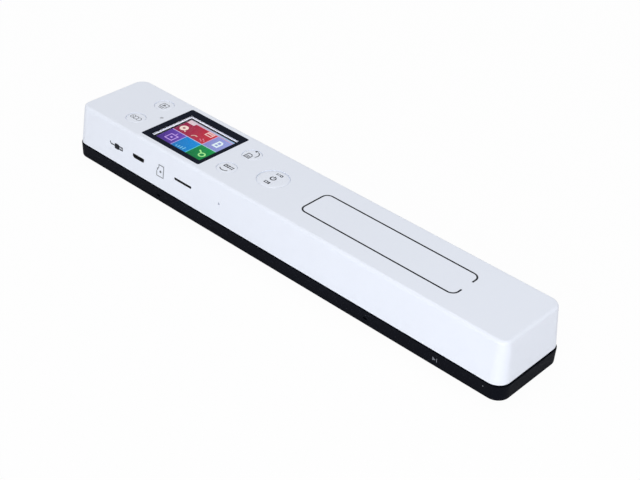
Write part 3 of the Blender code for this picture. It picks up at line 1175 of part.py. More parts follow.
def photo_interrupter():
    """The fork under the board whose light beam the slotted disc interrupts."""
    gap = WHEEL_SIDE_GAP
    left = WHEEL_DISC_X - gap - READER_ARM_THICKNESS
    right = WHEEL_END_X + gap + READER_ARM_THICKNESS
    arm_z = WHEEL_Z + WHEEL_HUB_RADIUS + READER_CLEARANCE
    half_y = READER_WIDTH / 2
    low = (left, -AXLE_Y - half_y, arm_z)
    fork = box("photo_interrupter", low, (right, -AXLE_Y + half_y, SOCKET_TOP_Z), BLACK_CHIP)
    way_low = (WHEEL_DISC_X - gap, -AXLE_Y - half_y - OVERRUN, arm_z - OVERRUN)
    way_high = (WHEEL_END_X + gap, -AXLE_Y + half_y + OVERRUN, READER_BLOCK_Z)
    cut(fork, box("disc_way", way_low, way_high))


def screw(name, x, y, head_z, shank_radius, head_radius, head_height, length):
    """A pan-head screw driven upwards, with a round recess in its head."""
    seat_z = head_z + head_height
    tip_z = seat_z + length
    profile = [
        (0, tip_z),
        (shank_radius - SCREW_POINT / 2, tip_z),
        (shank_radius, tip_z - SCREW_POINT),
        (shank_radius, seat_z),
        (head_radius, seat_z),
        (head_radius, head_z + head_height / 3),
        (head_radius - head_height / 3, head_z),
        (SCREW_RECESS_RADIUS, head_z),
        (SCREW_RECESS_RADIUS / 2, head_z + SCREW_RECESS_DEPTH),
        (0, head_z + SCREW_RECESS_DEPTH),
    ]
    turned(name, profile, STEEL, sides=SMALL_SIDES, place=(x, y, 0))


def screws():
    case_head_z = BASE_Z + CASE_COUNTERBORE_DEPTH - PRESS_GAP - CASE_SCREW_HEAD_HEIGHT
    case_length = CASE_SCREW_LENGTH - CASE_COUNTERBORE_DEPTH
    for name, (x, y) in CASE_SCREWS.items():
        screw(
            "case_screw_" + name,
            x,
            y,
            case_head_z,
            CASE_SCREW_RADIUS,
            CASE_SCREW_HEAD_RADIUS,
            CASE_SCREW_HEAD_HEIGHT,
            case_length,
        )
    board_head_z = BOARD_Z - SEAT_GAP - BOARD_SCREW_HEAD_HEIGHT
    for name, (x, y) in BOARD_SCREWS.items():
        screw(
            "board_screw_" + name,
            x,
            y,
            board_head_z,
            CASE_SCREW_RADIUS,
            BOARD_SCREW_HEAD_RADIUS,
            BOARD_SCREW_HEAD_HEIGHT,
            BOARD_SCREW_LENGTH,
        )


top_housing()
base_housing()
display()
for button_name, (button_x, button_y, button_radius) in BUTTONS.items():
    button(button_name, button_x, button_y, button_radius, dished=button_name == "power")
status_lamp()
main_board()
usb_socket()
card_socket()
reset_switch()
battery()
image_sensor()
sensor_ribbon()
axle("front_axle", -1, with_gear=True)
axle("rear_axle", 1, with_gear=False)
encoder_wheel()
photo_interrupter()
screws()
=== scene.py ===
# %% [markdown]
# # Dressing a handheld scanner
#
# A wand scanner is drawn over a page by hand. It has a white top shell on a black base, a small
# colour display behind a black-bordered window, five push buttons and three openings in its front.
# Rollers and a long glass lie underneath.
#
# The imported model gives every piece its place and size. This lesson keeps those places and gives
# each piece its finished shape and surface: rounded rims, printed marks, grain, gloss and light.
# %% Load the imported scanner
import math

import bmesh
import bpy
from mathutils import Matrix, Vector

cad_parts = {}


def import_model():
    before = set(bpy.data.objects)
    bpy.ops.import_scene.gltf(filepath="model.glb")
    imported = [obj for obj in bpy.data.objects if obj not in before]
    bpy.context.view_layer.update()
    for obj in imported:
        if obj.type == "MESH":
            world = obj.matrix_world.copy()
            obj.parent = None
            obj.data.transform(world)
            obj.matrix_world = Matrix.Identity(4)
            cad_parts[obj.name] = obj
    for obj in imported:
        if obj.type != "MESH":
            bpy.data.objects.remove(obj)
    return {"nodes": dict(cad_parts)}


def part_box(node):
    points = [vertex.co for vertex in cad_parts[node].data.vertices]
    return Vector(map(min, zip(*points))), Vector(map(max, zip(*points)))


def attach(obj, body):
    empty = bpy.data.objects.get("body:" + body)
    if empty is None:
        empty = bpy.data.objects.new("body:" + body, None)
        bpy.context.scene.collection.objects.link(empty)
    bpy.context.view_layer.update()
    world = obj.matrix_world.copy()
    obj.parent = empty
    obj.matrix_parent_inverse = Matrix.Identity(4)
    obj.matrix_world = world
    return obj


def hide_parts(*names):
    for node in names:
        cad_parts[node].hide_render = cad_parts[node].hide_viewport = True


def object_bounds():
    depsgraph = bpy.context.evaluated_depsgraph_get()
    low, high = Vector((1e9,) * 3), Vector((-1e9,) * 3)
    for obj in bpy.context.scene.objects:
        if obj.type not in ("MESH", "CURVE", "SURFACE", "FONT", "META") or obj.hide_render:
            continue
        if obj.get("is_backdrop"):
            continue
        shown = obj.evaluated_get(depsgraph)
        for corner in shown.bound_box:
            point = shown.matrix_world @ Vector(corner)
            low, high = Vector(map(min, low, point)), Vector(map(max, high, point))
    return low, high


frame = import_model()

cad_box = [list(corner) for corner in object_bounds()]

# %% [markdown]
# ## The camera
#
# The photograph looks down on the wand from the front right. A camera is easiest to read as an aim
# point, three angles and a distance, so its matrix is put together from those: turn round the
# vertical, tip down, roll, then step back.
# %% Set up the camera
MM = 0.001
AIM = Vector((16.91, -3.85, 14.0)) * MM
TURN = math.radians(40.604)
DOWN = math.radians(34.46)
ROLL = math.radians(3.771)
DISTANCE = 585.14 * MM
FOCAL_LENGTH = 75.65
FILM_WIDTH = 36.0
NEAREST = 10 * MM

lens = bpy.data.cameras.new("photo_lens")
lens.lens = FOCAL_LENGTH
lens.sensor_width = FILM_WIDTH
lens.clip_start = NEAREST
camera = bpy.data.objects.new("photo_camera", lens)
camera.matrix_world = (
    Matrix.Translation(AIM)
    @ Matrix.Rotation(TURN, 4, "Z")
    @ Matrix.Rotation(math.pi / 2 - DOWN, 4, "X")
    @ Matrix.Rotation(ROLL, 4, "Z")
    @ Matrix.Translation((0, 0, DISTANCE))
)
bpy.context.scene.collection.objects.link(camera)
bpy.context.scene.camera = camera
bpy.context.scene.view_settings.view_transform = "Standard"
print("camera at", [round(c / MM, 1) for c in camera.matrix_world.translation], "mm")

# %% [markdown]
# ## Node helpers
#
# A material is a small graph of nodes. Small helpers keep each graph short to write. A group holds
# an effect that several finishes share, such as moulding grain, and each finish sets its own values
# on it. A group's sockets take their kind from their values.
# %% Make nodes and node groups
def add_node(tree, kind, inputs=None, **settings):
    """Adds a node. An input is a value, or the output socket that feeds it."""
    node = tree.nodes.new("ShaderNode" + kind)
    for name, value in settings.items():
        setattr(node, name, value)
    for name, value in (inputs or {}).items():
        if isinstance(value, bpy.types.NodeSocket):
            tree.links.new(value, node.inputs[name])
        else:
            node.inputs[name].default_value = value
    return node


def maths(tree, operation, *values):
    """Works with numbers, and returns the result's socket."""
    return add_node(tree, "Math", dict(enumerate(values)), operation=operation).outputs[0]


def vectors(tree, operation, *values, **named):
    """Works with vectors, and returns the result's socket."""
    node = add_node(tree, "VectorMath", {**dict(enumerate(values)), **named}, operation=operation)
    return node.outputs["Value" if operation == "DOT_PRODUCT" else "Vector"]


def noise(tree, place, scale, detail=2.0):
    inputs = {"Vector": place, "Scale": scale, "Detail": detail}
    return add_node(tree, "TexNoise", inputs).outputs["Fac"]


def map_range(tree, value, start, end, low=0.0, high=1.0):
    """Maps a value that runs from start to end onto low to high."""
    inputs = {"Value": value, "From Min": start, "From Max": end, "To Min": low, "To Max": high}
    return add_node(tree, "MapRange", inputs).outputs["Result"]


def blend_colours(tree, share, first, second):
    """Mixes two colours; sockets 6 and 7 of a mix node are its colours, and output 2 is theirs."""
    return add_node(tree, "Mix", {"Factor": share, 6: first, 7: second}, data_type="RGBA").outputs[2]


def mix_shaders(tree, share, first, second, end="Material Output"):
    """Shows a share of the second shader in place of the first."""
    mix = add_node(tree, "MixShader", {0: share, 1: first.outputs[0], 2: second.outputs[0]})
    tree.links.new(mix.outputs[0], tree.nodes[end].inputs["Surface"])


def start_group(name, inputs):
    """Starts a node group. Returns it, its inputs and the piece's own coordinates."""
    group = bpy.data.node_groups.new(name, "ShaderNodeTree")
    for label, value in inputs.items():
        kind = {1: "Float", 3: "Vector", 4: "Color"}[len(value) if isinstance(value, tuple) else 1]
        socket = group.interface.new_socket(label, in_out="INPUT", socket_type="NodeSocket" + kind)
        socket.default_value = value
    place = add_node(group, "TexCoord").outputs["Object"]
    return group, group.nodes.new("NodeGroupInput").outputs, place


def end_group(group, **outputs):
    """Gives a node group its outputs, and returns it."""
    for label in outputs:
        kind = "NodeSocketColor" if label == "Colour" else "NodeSocketFloat"
        group.interface.new_socket(label, in_out="OUTPUT", socket_type=kind)
    end = group.nodes.new("NodeGroupOutput")
    for label, socket in outputs.items():
        group.links.new(socket, end.inputs[label])
    print("group", group.name, "has", len(group.nodes), "nodes and gives", list(outputs))
    return group


# %% [markdown]
# ## Moulding grain
#
# Plastic from a steel mould is never one flat tone. Its colour drifts a little over a few
# centimetres, its gloss changes where the mould was polished by hand, and spark erosion leaves a
# grain of a tenth to half a millimetre. One group makes all three from noise in the piece's own
# coordinates, so the grain has a real size and stays on the piece as it moves.
# %% Group: moulded skin
def moulded_skin_group():
    inputs = {"Colour": (0.8, 0.8, 0.8, 1), "Shade Change": 0.03, "Roughness": 0.4}
    inputs.update({"Gloss Change": 0.05, "Grain Scale": 3000.0})
    group, given, place = start_group("moulded_skin", inputs)
    drift = maths(group, "SUBTRACT", noise(group, place, 45.0), 0.5)
    swing = maths(group, "MULTIPLY_ADD", drift, given["Shade Change"], 1.0)
    tone = vectors(group, "SCALE", given["Colour"], Scale=swing)
    patches = maths(group, "SUBTRACT", noise(group, place, 190.0, 4.0), 0.5)
    gloss = maths(group, "MULTIPLY_ADD", patches, given["Gloss Change"], given["Roughness"])
    grain = noise(group, place, given["Grain Scale"], 3.0)
    return end_group(group, Colour=tone, Roughness=gloss, Height=grain)


MOULDED_SKIN = moulded_skin_group()
SHINE = "Specular IOR Level"
finishes = {}


def start_material(name, settings):
    """Makes a material with these shader settings, keeps it in finishes and returns its tree."""
    finishes[name] = bpy.data.materials.new(name)
    finishes[name].use_nodes = True
    tree = finishes[name].node_tree
    for label, value in settings.items():
        tree.nodes["Principled BSDF"].inputs[label].default_value = value
    return tree


def surface(name, group, values, depth, settings, colour_to="Base Color"):
    """A material that a group gives its colour, roughness and relief, depth millimetres deep."""
    tree = start_material(name, settings)
    drawn = add_node(tree, "Group", values, node_tree=group).outputs
    bump = add_node(tree, "Bump", {"Height": drawn["Height"], "Distance": depth * MM, "Strength": 1.0})
    shader = tree.nodes["Principled BSDF"].inputs
    tree.links.new(bump.outputs["Normal"], shader["Normal"])
    for label, target in (("Colour", colour_to), ("Roughness", "Roughness")):
        if label in drawn:
            tree.links.new(drawn[label], shader[target])
    return tree


def moulded_plastic(name, colour, roughness, grain, depth, shade=0.03, gloss=0.06, settings=None):
    """A plastic whose grain is so many bumps a metre."""
    values = {"Colour": (*colour, 1), "Shade Change": shade, "Roughness": roughness}
    values.update({"Gloss Change": gloss, "Grain Scale": grain})
    return surface(name, MOULDED_SKIN, values, depth, settings or {})


WHITE = (0.79, 0.83, 0.92)
# Painted light: the frame is given a faint glow of its own, so the strip of it seen past the border, which
# lies in shade, reads bright.
FRAME_PAINTED_GLOW = {"Emission Color": (0.78, 0.80, 0.90, 1), "Emission Strength": 0.45}
moulded_plastic("white_shell", WHITE, 0.34, 2600, 0.006, 0.02)
moulded_plastic("white_button", WHITE, 0.28, 3200, 0.004, 0.02)
moulded_plastic("white_frame", (0.86, 0.87, 0.92), 0.45, 3000, 0.01, settings=FRAME_PAINTED_GLOW)
moulded_plastic("black_base", (0.0035, 0.0042, 0.0075), 0.5, 2200, 0.02, 0.3, 0.12, {SHINE: 0.04})
print("finishes so far:", ", ".join(finishes))

# %% [markdown]
# ## Modelling helpers
#
# New pieces grow from bmesh operators. A block is a cube, scaled and moved. A rounded block has its
# upright edges bevelled. A turned piece is a profile spun round the Z axis. Openings are cut with
# Boolean modifiers, which are applied at once so that the rims can be bevelled afterwards.
# %% Build blocks, rods and turned pieces
SHARP = math.radians(32)
FLAT = math.radians(0.05)
BEND = math.radians(40)
WELD = 0.0005 * MM
CORNER_STEPS = 14
FILLET_STEPS = 8
RIM_WEIGHT = 80


def round_off(shape, edges, radius, steps):
    bmesh.ops.bevel(
        shape, geom=list(edges), offset=radius, segments=steps, profile=0.5, affect="EDGES",
        material=-1, loop_slide=False,
    )


def moved(shape, x, y, z=0):
    bmesh.ops.translate(shape, vec=(x, y, z), verts=shape.verts)
    return shape


def block(low, high):
    """A bmesh box between two corners."""
    shape = bmesh.new()
    bmesh.ops.create_cube(shape, size=1)
    bmesh.ops.scale(shape, vec=[h - l for l, h in zip(low, high)], verts=shape.verts)
    return moved(shape, *[(h + l) / 2 for l, h in zip(low, high)])


def edges_along(shape, axis):
    def leans(edge):
        return abs(getattr((edge.verts[0].co - edge.verts[1].co).normalized(), axis))

    return [edge for edge in shape.edges if leans(edge) > 0.9]


def rounded_block(low, high, corner, steps=CORNER_STEPS):
    shape = block(low, high)
    round_off(shape, edges_along(shape, "z"), corner, steps)
    return shape


def at_height(height):
    """A test for edges that lie at one height."""
    return lambda edge: all(abs(v.co.z - height) < WELD for v in edge.verts)


def edges_at(shape, height):
    return list(filter(at_height(height), shape.edges))


def spun(profile, steps):
    """Spins a profile of (radius, height) points once round the Z axis, from top to bottom."""
    shape = bmesh.new()
    verts = [shape.verts.new((radius, 0, height)) for radius, height in profile]
    edges = [shape.edges.new(pair) for pair in zip(verts, verts[1:])]
    bmesh.ops.spin(
        shape, geom=verts + edges, axis=(0, 0, 1), cent=(0, 0, 0), angle=math.tau, steps=steps,
        use_merge=True, use_duplicate=False,
    )
    return shape


def rod(radius, low, high, steps):
    return spun([(0, high), (radius, high), (radius, low), (0, low)], steps)


def along_x(shape, x, y, z):
    """Lays a turned shape along X and moves it."""
    bmesh.ops.rotate(shape, matrix=Matrix.Rotation(math.pi / 2, 3, "Y"), verts=shape.verts)
    return moved(shape, x, y, z)


def mirrored(profile):
    """The same profile upside down, still written from top to bottom."""
    return [(radius, -height) for radius, height in reversed(profile)]


# %% [markdown]
# A finished shape becomes an object with its finish. Each is then handed over: the imported piece
# that it stands for is hidden, and it rides on the body that it belongs to.
# %% Finish, cut and hand over
def finished(shape, name, finish=None, smooth=SHARP):
    """Makes the object: doubles merged, normals outward, flat faces flat and round ones smooth."""
    bmesh.ops.remove_doubles(shape, verts=shape.verts, dist=WELD)
    bmesh.ops.recalc_face_normals(shape, faces=shape.faces)
    mesh = bpy.data.meshes.new(name)
    shape.to_mesh(mesh)
    shape.free()
    mesh.shade_smooth()
    mesh.set_sharp_from_angle(angle=smooth)
    if finish:
        mesh.materials.append(finishes[finish])
    piece = bpy.data.objects.new(name, mesh)
    bpy.context.scene.collection.objects.link(piece)
    return piece


def reshape(piece, operation, tools):
    """Cuts the tools out of a piece, or joins them to it, and keeps only the result."""
    tools = [t if isinstance(t, bpy.types.Object) else finished(t, "tool") for t in tools]
    for tool in tools:
        change = piece.modifiers.new(tool.name, "BOOLEAN")
        change.operation = operation
        change.solver = "EXACT"
        change.object = tool
    graph = bpy.context.evaluated_depsgraph_get()
    old = piece.data
    piece.data = bpy.data.meshes.new_from_object(piece.evaluated_get(graph))
    piece.modifiers.clear()
    bpy.data.meshes.remove(old)
    for tool in tools:
        bpy.data.objects.remove(tool)


def cut(piece, *tools):
    reshape(piece, "DIFFERENCE", tools)


def join(piece, *tools):
    reshape(piece, "UNION", tools)


def merged(mesh):
    """A bmesh of a mesh, with its doubles merged and its flat faces made whole."""
    shape = bmesh.new()
    shape.from_mesh(mesh)
    bmesh.ops.remove_doubles(shape, verts=shape.verts, dist=WELD)
    bmesh.ops.dissolve_limit(shape, angle_limit=FLAT, verts=shape.verts, edges=shape.edges)
    return shape


def steady_shading(piece, weight=50):
    steady = piece.modifiers.new("Steady shading", "WEIGHTED_NORMAL")
    steady.keep_sharp = True
    steady.weight = weight


def tidy_mesh(piece, *rims):
    """Merges what the cuts left, rounds the rims that each (test, radius, steps) picks, and shades."""
    shape = merged(piece.data)
    for test, radius, steps in rims:
        bends = [e for e in shape.edges if e.is_manifold and e.calc_face_angle(0) > BEND]
        round_off(shape, filter(test, bends), radius, steps)
    shape.to_mesh(piece.data)
    shape.free()
    piece.data.shade_smooth()
    piece.data.set_sharp_from_angle(angle=SHARP)
    steady_shading(piece, RIM_WEIGHT)


def hand_over(piece, node=None, body="housing"):
    if node:
        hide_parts(node)
    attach(piece, body)
    print(piece.name, len(piece.data.polygons), "faces, rides on", body)


def deliver(shape, name, finish, node, body="housing", smooth=SHARP):
    """Finishes a shape in its slot's own finish and hands it over for a node."""
    hand_over(finished(shape, name, finish, smooth), node, body)


# %% [markdown]
# ## The top shell
#
# The shell is one injection moulding. Its walls lean in by about five degrees so that it leaves the
# mould, which also makes the corner radius shrink from foot to top, and its top edge is rounded.
# A rounded block gives the foot, its upper ring is drawn in round each corner's centre, and a bevel
# makes the edge. The inside is a second block of the same kind, cut out, so the wall stays even.
# %% Sizes of the shell
shell_low, shell_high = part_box("top_housing")
SPLIT_Z, TOP_Z = shell_low.z, shell_high.z
HALF_LENGTH, HALF_WIDTH = shell_high.x, shell_high.y
INK = 0.02 * MM
SKIN_TOP_Z = TOP_Z - INK
ROOF_Z = TOP_Z - 2.0 * MM
WALL = 1.8 * MM
SKIRT = 0.9 * MM
SEAT_GAP = 0.3 * MM
LIP_HEIGHT = 2.0 * MM
END_STEP = 0.5 * MM
END_DRAFT = 1.8 * MM
SIDE_DRAFT = 1.7 * MM
FOOT_CORNER = 6.2 * MM
TOP_CORNER = 4.6 * MM
BACK_EXTRA = (1.0 * MM, 1.2 * MM)
EDGE_RADIUS = 1.6 * MM
INNER_RADIUS = 0.8 * MM
OVERRUN = 1.0 * MM
ROOTING = 0.4 * MM


def shell_ring(z, inset=0.0):
    """Half length, half width and corner radius of the shell's outline at a height."""
    rise = (z - SPLIT_Z) / (TOP_Z - SPLIT_Z)
    half_length = HALF_LENGTH - END_STEP - END_DRAFT * rise - inset
    corner = FOOT_CORNER + (TOP_CORNER - FOOT_CORNER) * rise
    return half_length, HALF_WIDTH - SIDE_DRAFT * rise - inset, corner - inset


def ring_block(ring, low_z, high_z, inset=0.0, back=(0.0, 0.0)):
    """A block between a ring's outlines at two heights; back widens the upper one's back and its corners."""
    half_x, half_y, corner = ring(low_z, inset)
    upper_x, upper_y, upper_corner = ring(high_z, inset)
    shape = rounded_block((-half_x, -half_y, low_z), (half_x, half_y, high_z), corner)
    for vert in shape.verts:
        if vert.co.z > (low_z + high_z) / 2:
            side_x = math.copysign(1, vert.co.x)
            side_y = math.copysign(1, vert.co.y)
            out_x = vert.co.x - side_x * (half_x - corner)
            out_y = vert.co.y - side_y * (half_y - corner)
            wider, rounder = back if side_y > 0 else (0.0, 0.0)
            bend = upper_corner + rounder
            vert.co.x = side_x * (upper_x - bend) + out_x * bend / corner
            vert.co.y = side_y * (upper_y + wider - bend) + out_y * bend / corner
    return shape


for z in (SPLIT_Z, TOP_Z):
    print("shell at", round(z / MM, 2), "is", [round(s / MM, 2) for s in shell_ring(z)])

# %% [markdown]
# ### Openings in the shell
#
# The roof has a recess for the window with a ledge under it, five button holes and a lamp hole. The
# front has the trapezoid opening, the card slot and the reset pinhole. Each opening is one cutter,
# placed by the frame's own pieces. The gap round a button is drawn a little tighter than the
# frame's, since a real button's gap is about a tenth of a millimetre.
# %% Cutters for the roof
window_low, window_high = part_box("display_window")
WINDOW_GAP = 0.1 * MM
LEDGE_Z = ROOF_Z + 0.5 * MM
VIEW_BORDER_X = 2.6 * MM
VIEW_BORDER_Y = 3.0 * MM
WINDOW_CORNER = 0.8 * MM
BUTTON_GAP = 0.045 * MM
BUTTON_FLANGE = 0.9 * MM
PIPE_RADIUS = 0.85 * MM
BUTTON_NAMES = ("power", "resolution", "file_format", "colour_mode", "playback")


def middle_of(node):
    low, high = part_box(node)
    return (low + high) / 2


def button_radius(name):
    """The cap's own radius, which is a flange narrower than the node."""
    low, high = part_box(name + "_button")
    return (high.x - low.x) / 2 - BUTTON_FLANGE


def upright_rod(node, radius, low_z, high_z, steps):
    """A round rod at a node's place."""
    place = middle_of(node)
    return moved(rod(radius, low_z, high_z, steps), place.x, place.y)


def roof_cutters():
    gap = Vector((WINDOW_GAP, WINDOW_GAP, 0))
    low, high = window_low - gap, window_high + gap
    top = (high.x, high.y, TOP_Z + OVERRUN)
    tools = [rounded_block((low.x, low.y, LEDGE_Z), top, WINDOW_CORNER + WINDOW_GAP, 8)]
    view_low = (window_low.x + VIEW_BORDER_X, window_low.y + VIEW_BORDER_Y, ROOF_Z - OVERRUN)
    view_high = (window_high.x - VIEW_BORDER_X, window_high.y - VIEW_BORDER_Y, LEDGE_Z + OVERRUN)
    tools.append(block(view_low, view_high))
    holes = [(name + "_button", button_radius(name), 96) for name in BUTTON_NAMES]
    for node, radius, steps in holes + [("status_light_pipe", PIPE_RADIUS, 32)]:
        tools.append(upright_rod(node, radius + BUTTON_GAP, ROOF_Z - OVERRUN, TOP_Z + OVERRUN, steps))
    return tools


print("button radii", [round(button_radius(name) / MM, 2) for name in BUTTON_NAMES], "mm")


# %% [markdown]
# The socket opening is a plug's own outline: straight upper corners, and lower corners cut back.
# It starts as a block whose two lowest edges are bevelled in one step. The pinhole is a short turned
# rod, laid along Y.
# %% Cutters for the front
SOCKET_OPENING = (7.9 * MM, 6.5 * MM, 2.2 * MM)
SOCKET_ROUND, CARD_ROUND = 0.1, 0.3
CARD_SLOT = (11.3 * MM, 1.25 * MM)
CARD_SLOT_RISE = 0.65 * MM
PINHOLE_RADIUS = 0.6 * MM
usb_middle = middle_of("usb_socket_shell")
card_low, card_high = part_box("card_socket_cover")
card_x = (card_low.x + card_high.x) / 2
card_slot_z = card_low.z + CARD_SLOT_RISE
reset_middle = middle_of("reset_plunger")


def front_block(x, z, width, height, low_y, high_y):
    return block((x - width / 2, low_y, z - height / 2), (x + width / 2, high_y, z + height / 2))


def plug_block(width, foot, height, low_y, high_y):
    """A block with a plug's outline: its lower corners are cut back at 45 degrees."""
    shape = front_block(usb_middle.x, usb_middle.z, width, height, low_y, high_y)
    lowest = edges_at(shape, usb_middle.z - height / 2)
    bottom = [e for e in lowest if abs(e.verts[0].co.x - e.verts[1].co.x) < WELD]
    round_off(shape, bottom, (width - foot) / 2, 1)
    round_off(shape, edges_along(shape, "y"), height * SOCKET_ROUND, 3)
    return shape


def front_wall_y(z, inset=0.0):
    return -shell_ring(z, inset)[1]


def front_cutters():
    outside = -HALF_WIDTH - OVERRUN
    inside = front_wall_y(usb_middle.z, WALL + OVERRUN)
    slot = front_block(card_x, card_slot_z, *CARD_SLOT, outside, inside)
    round_off(slot, edges_along(slot, "y"), CARD_SLOT[1] * CARD_ROUND, 4)
    pin = rod(PINHOLE_RADIUS, outside, inside, 32)
    bmesh.ops.rotate(pin, matrix=Matrix.Rotation(-math.pi / 2, 3, "X"), verts=pin.verts)
    pin = moved(pin, reset_middle.x, 0, reset_middle.z)
    return [plug_block(*SOCKET_OPENING, outside, inside), slot, pin]


for name, x in (("socket", usb_middle.x), ("card slot", card_x), ("pinhole", reset_middle.x)):
    print(name, "at x =", round(x / MM, 2), "mm")


# %% [markdown]
# ### Inside the shell
#
# Screws drive up into round bosses under the roof, each with a pilot hole, and two ribs keep the
# battery from sliding. The moulder roots a boss in the roof, so each is joined a little way in.
# %% Bosses and ribs
BOSS_RADIUS = 1.7 * MM
BOARD_BOSS_RADIUS = 2.2 * MM
PILOT_RADIUS = 0.75 * MM + SEAT_GAP
RIB = 1.2 * MM
RIB_DEPTH = 5.0 * MM
GATE_HALF_WIDTH = 2.9 * MM
CASE_SCREWS = [f"case_screw_{side}_{row}" for side in ("left", "right") for row in ("front", "rear")]
BOARD_SCREWS = ["board_screw_left", "board_screw_right"]
board_low, board_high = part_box("main_board")
battery_low, battery_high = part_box("battery")
pad_low, pad_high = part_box("battery_pad")


def shell_bosses():
    """The bosses, and the holes in them."""
    bosses, pilots = [], []
    case = (CASE_SCREWS, BOSS_RADIUS, SPLIT_Z, OVERRUN)
    board = (BOARD_SCREWS, BOARD_BOSS_RADIUS, board_high.z, SEAT_GAP)
    for screws, radius, seat, beyond in (case, board):
        for name in screws:
            foot = seat + SEAT_GAP
            bosses.append(upright_rod(name, radius, foot, ROOF_Z + ROOTING, 40))
            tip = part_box(name)[1].z + beyond
            pilots.append(upright_rod(name, PILOT_RADIUS, foot - OVERRUN, tip, 24))
    return bosses, pilots


def battery_ribs():
    """A rib at each end of the battery. The left one has a gate for the leads."""
    left, right = battery_low.x - SEAT_GAP - RIB, battery_high.x + SEAT_GAP
    foot = ROOF_Z - RIB_DEPTH
    ribs = [block((x, pad_low.y, foot), (x + RIB, pad_high.y, ROOF_Z + ROOTING)) for x in (left, right)]
    ribs[0] = finished(ribs[0], "left_rib")
    gate_low = (left - OVERRUN, -GATE_HALF_WIDTH, foot - OVERRUN)
    cut(ribs[0], block(gate_low, (left + RIB + OVERRUN, GATE_HALF_WIDTH, ROOF_Z - OVERRUN)))
    return ribs


print("bosses for", len(CASE_SCREWS), "case screws and", len(BOARD_SCREWS), "board screws")


# %% Put the shell together
ON_WALL = 0.004 * MM
FRONT_TOP = 15 * MM
FOOT_BAND = 0.3 * MM
ROOF_RIM, FRONT_RIM, FOOT_RIM = 0.05 * MM, 0.15 * MM, 0.12 * MM


def on_roof(edge):
    inside = all(abs(v.co.y) < HALF_WIDTH - SIDE_DRAFT - EDGE_RADIUS for v in edge.verts)
    return inside and at_height(SKIN_TOP_Z)(edge)


def on_front_wall(edge):
    level = all(LIP_HEIGHT < v.co.z - SPLIT_Z < FRONT_TOP for v in edge.verts)
    return level and all(abs(v.co.y - front_wall_y(v.co.z)) < ON_WALL for v in edge.verts)


def on_foot(edge):
    ends, sides = HALF_LENGTH - FOOT_CORNER, HALF_WIDTH - FOOT_BAND
    out = all(abs(v.co.y) > sides or abs(v.co.x) > ends for v in edge.verts)
    return out and at_height(SPLIT_Z)(edge)


def top_shell():
    outer = ring_block(shell_ring, SPLIT_Z, SKIN_TOP_Z, back=BACK_EXTRA)
    round_off(outer, edges_at(outer, SKIN_TOP_Z), EDGE_RADIUS, FILLET_STEPS)
    shell = finished(outer, "top_shell", "white_shell")
    hollow = ring_block(shell_ring, SPLIT_Z - OVERRUN, ROOF_Z, WALL)
    round_off(hollow, edges_at(hollow, ROOF_Z), INNER_RADIUS, 4)
    cut(shell, hollow, ring_block(shell_ring, SPLIT_Z - OVERRUN, SPLIT_Z + LIP_HEIGHT + SEAT_GAP, SKIRT))
    bosses, pilots = shell_bosses()
    join(shell, *bosses, *battery_ribs())
    for tools in (pilots, roof_cutters(), front_cutters()):
        cut(shell, *tools)
    tidy_mesh(shell, (on_roof, ROOF_RIM, 2), (on_front_wall, FRONT_RIM, 3), (on_foot, FOOT_RIM, 2))
    hand_over(shell, "top_housing")


top_shell()

# %% [markdown]
# ## The black base
#
# The base is a tray, a little tapered and rounded where it nears the page, with a thin lip that
# stands up inside the shell. A shadow groove of 0.8 mm between the two hides small errors of fit.
# Its floor has pockets for the rollers, the long scan opening and counterbores for the screws.
# %% Sizes of the base
base_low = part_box("base_housing")[0]
BASE_Z = base_low.z - 0.25 * MM
FLOOR_Z = base_low.z + 1.7 * MM
RIM_Z = SPLIT_Z - 0.8 * MM
BASE_TAPER = 0.35 * MM
BASE_CORNER = 6.0 * MM
BASE_EDGE = 0.6 * MM
LIP = 0.8 * MM
UNDER_RIM, TOP_RIM = 0.15 * MM, 0.12 * MM
axle_middle = middle_of("front_axle_shaft")
roller_low, roller_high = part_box("front_axle_right_roller")
bushing_low, bushing_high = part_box("front_axle_right_bushing")
sensor_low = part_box("sensor_housing")[0]
glass_low, glass_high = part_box("sensor_glass")
gear_low, gear_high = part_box("drive_gear")
wheel_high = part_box("encoder_wheel")[1]


def base_ring(z, inset=0.0):
    drop = (SPLIT_Z - z) / (SPLIT_Z - BASE_Z)
    return HALF_LENGTH - inset, HALF_WIDTH - BASE_TAPER * drop - inset, BASE_CORNER - inset


print("base", [round(s / MM, 2) for s in base_ring(BASE_Z)], "rim at", round(RIM_Z / MM, 2))

# %% [markdown]
# ### Openings in the base
#
# A roller pocket is a rectangle just larger than the slice of roller that passes the floor. The
# scan opening leaves the glass an even gap. Counterbores sink the screw heads so that they can't
# scratch a page, and two small notches break its front side.
# %% Cutters for the base
POCKET_GAP = 0.6 * MM
POCKET_INTO_BUSHING = 0.85 * MM
FLOOR_CORNER = 0.4 * MM
SCREW_WAY = 1.05 * MM
COUNTERBORE = (1.75 * MM, 1.15 * MM)
SIDE_NOTCH = Vector((2.0, 0.8, 1.2)) * MM
SIDE_NOTCH_Z = base_low.z + 3.1 * MM
SIDE_NOTCH_X = [(-5.2 + side * 64.0) * MM for side in (-1, 1)]
GEAR_GAP = (0.22 * MM, 0.45 * MM)
GEAR_BACK = 1.25 * MM
CORNERS = [(x, y) for x in (-1, 1) for y in (-1, 1)]


def floor_block(low_x, high_x, low_y, high_y):
    low = (low_x, low_y, BASE_Z - OVERRUN)
    return rounded_block(low, (high_x, high_y, FLOOR_Z + OVERRUN), FLOOR_CORNER, 4)


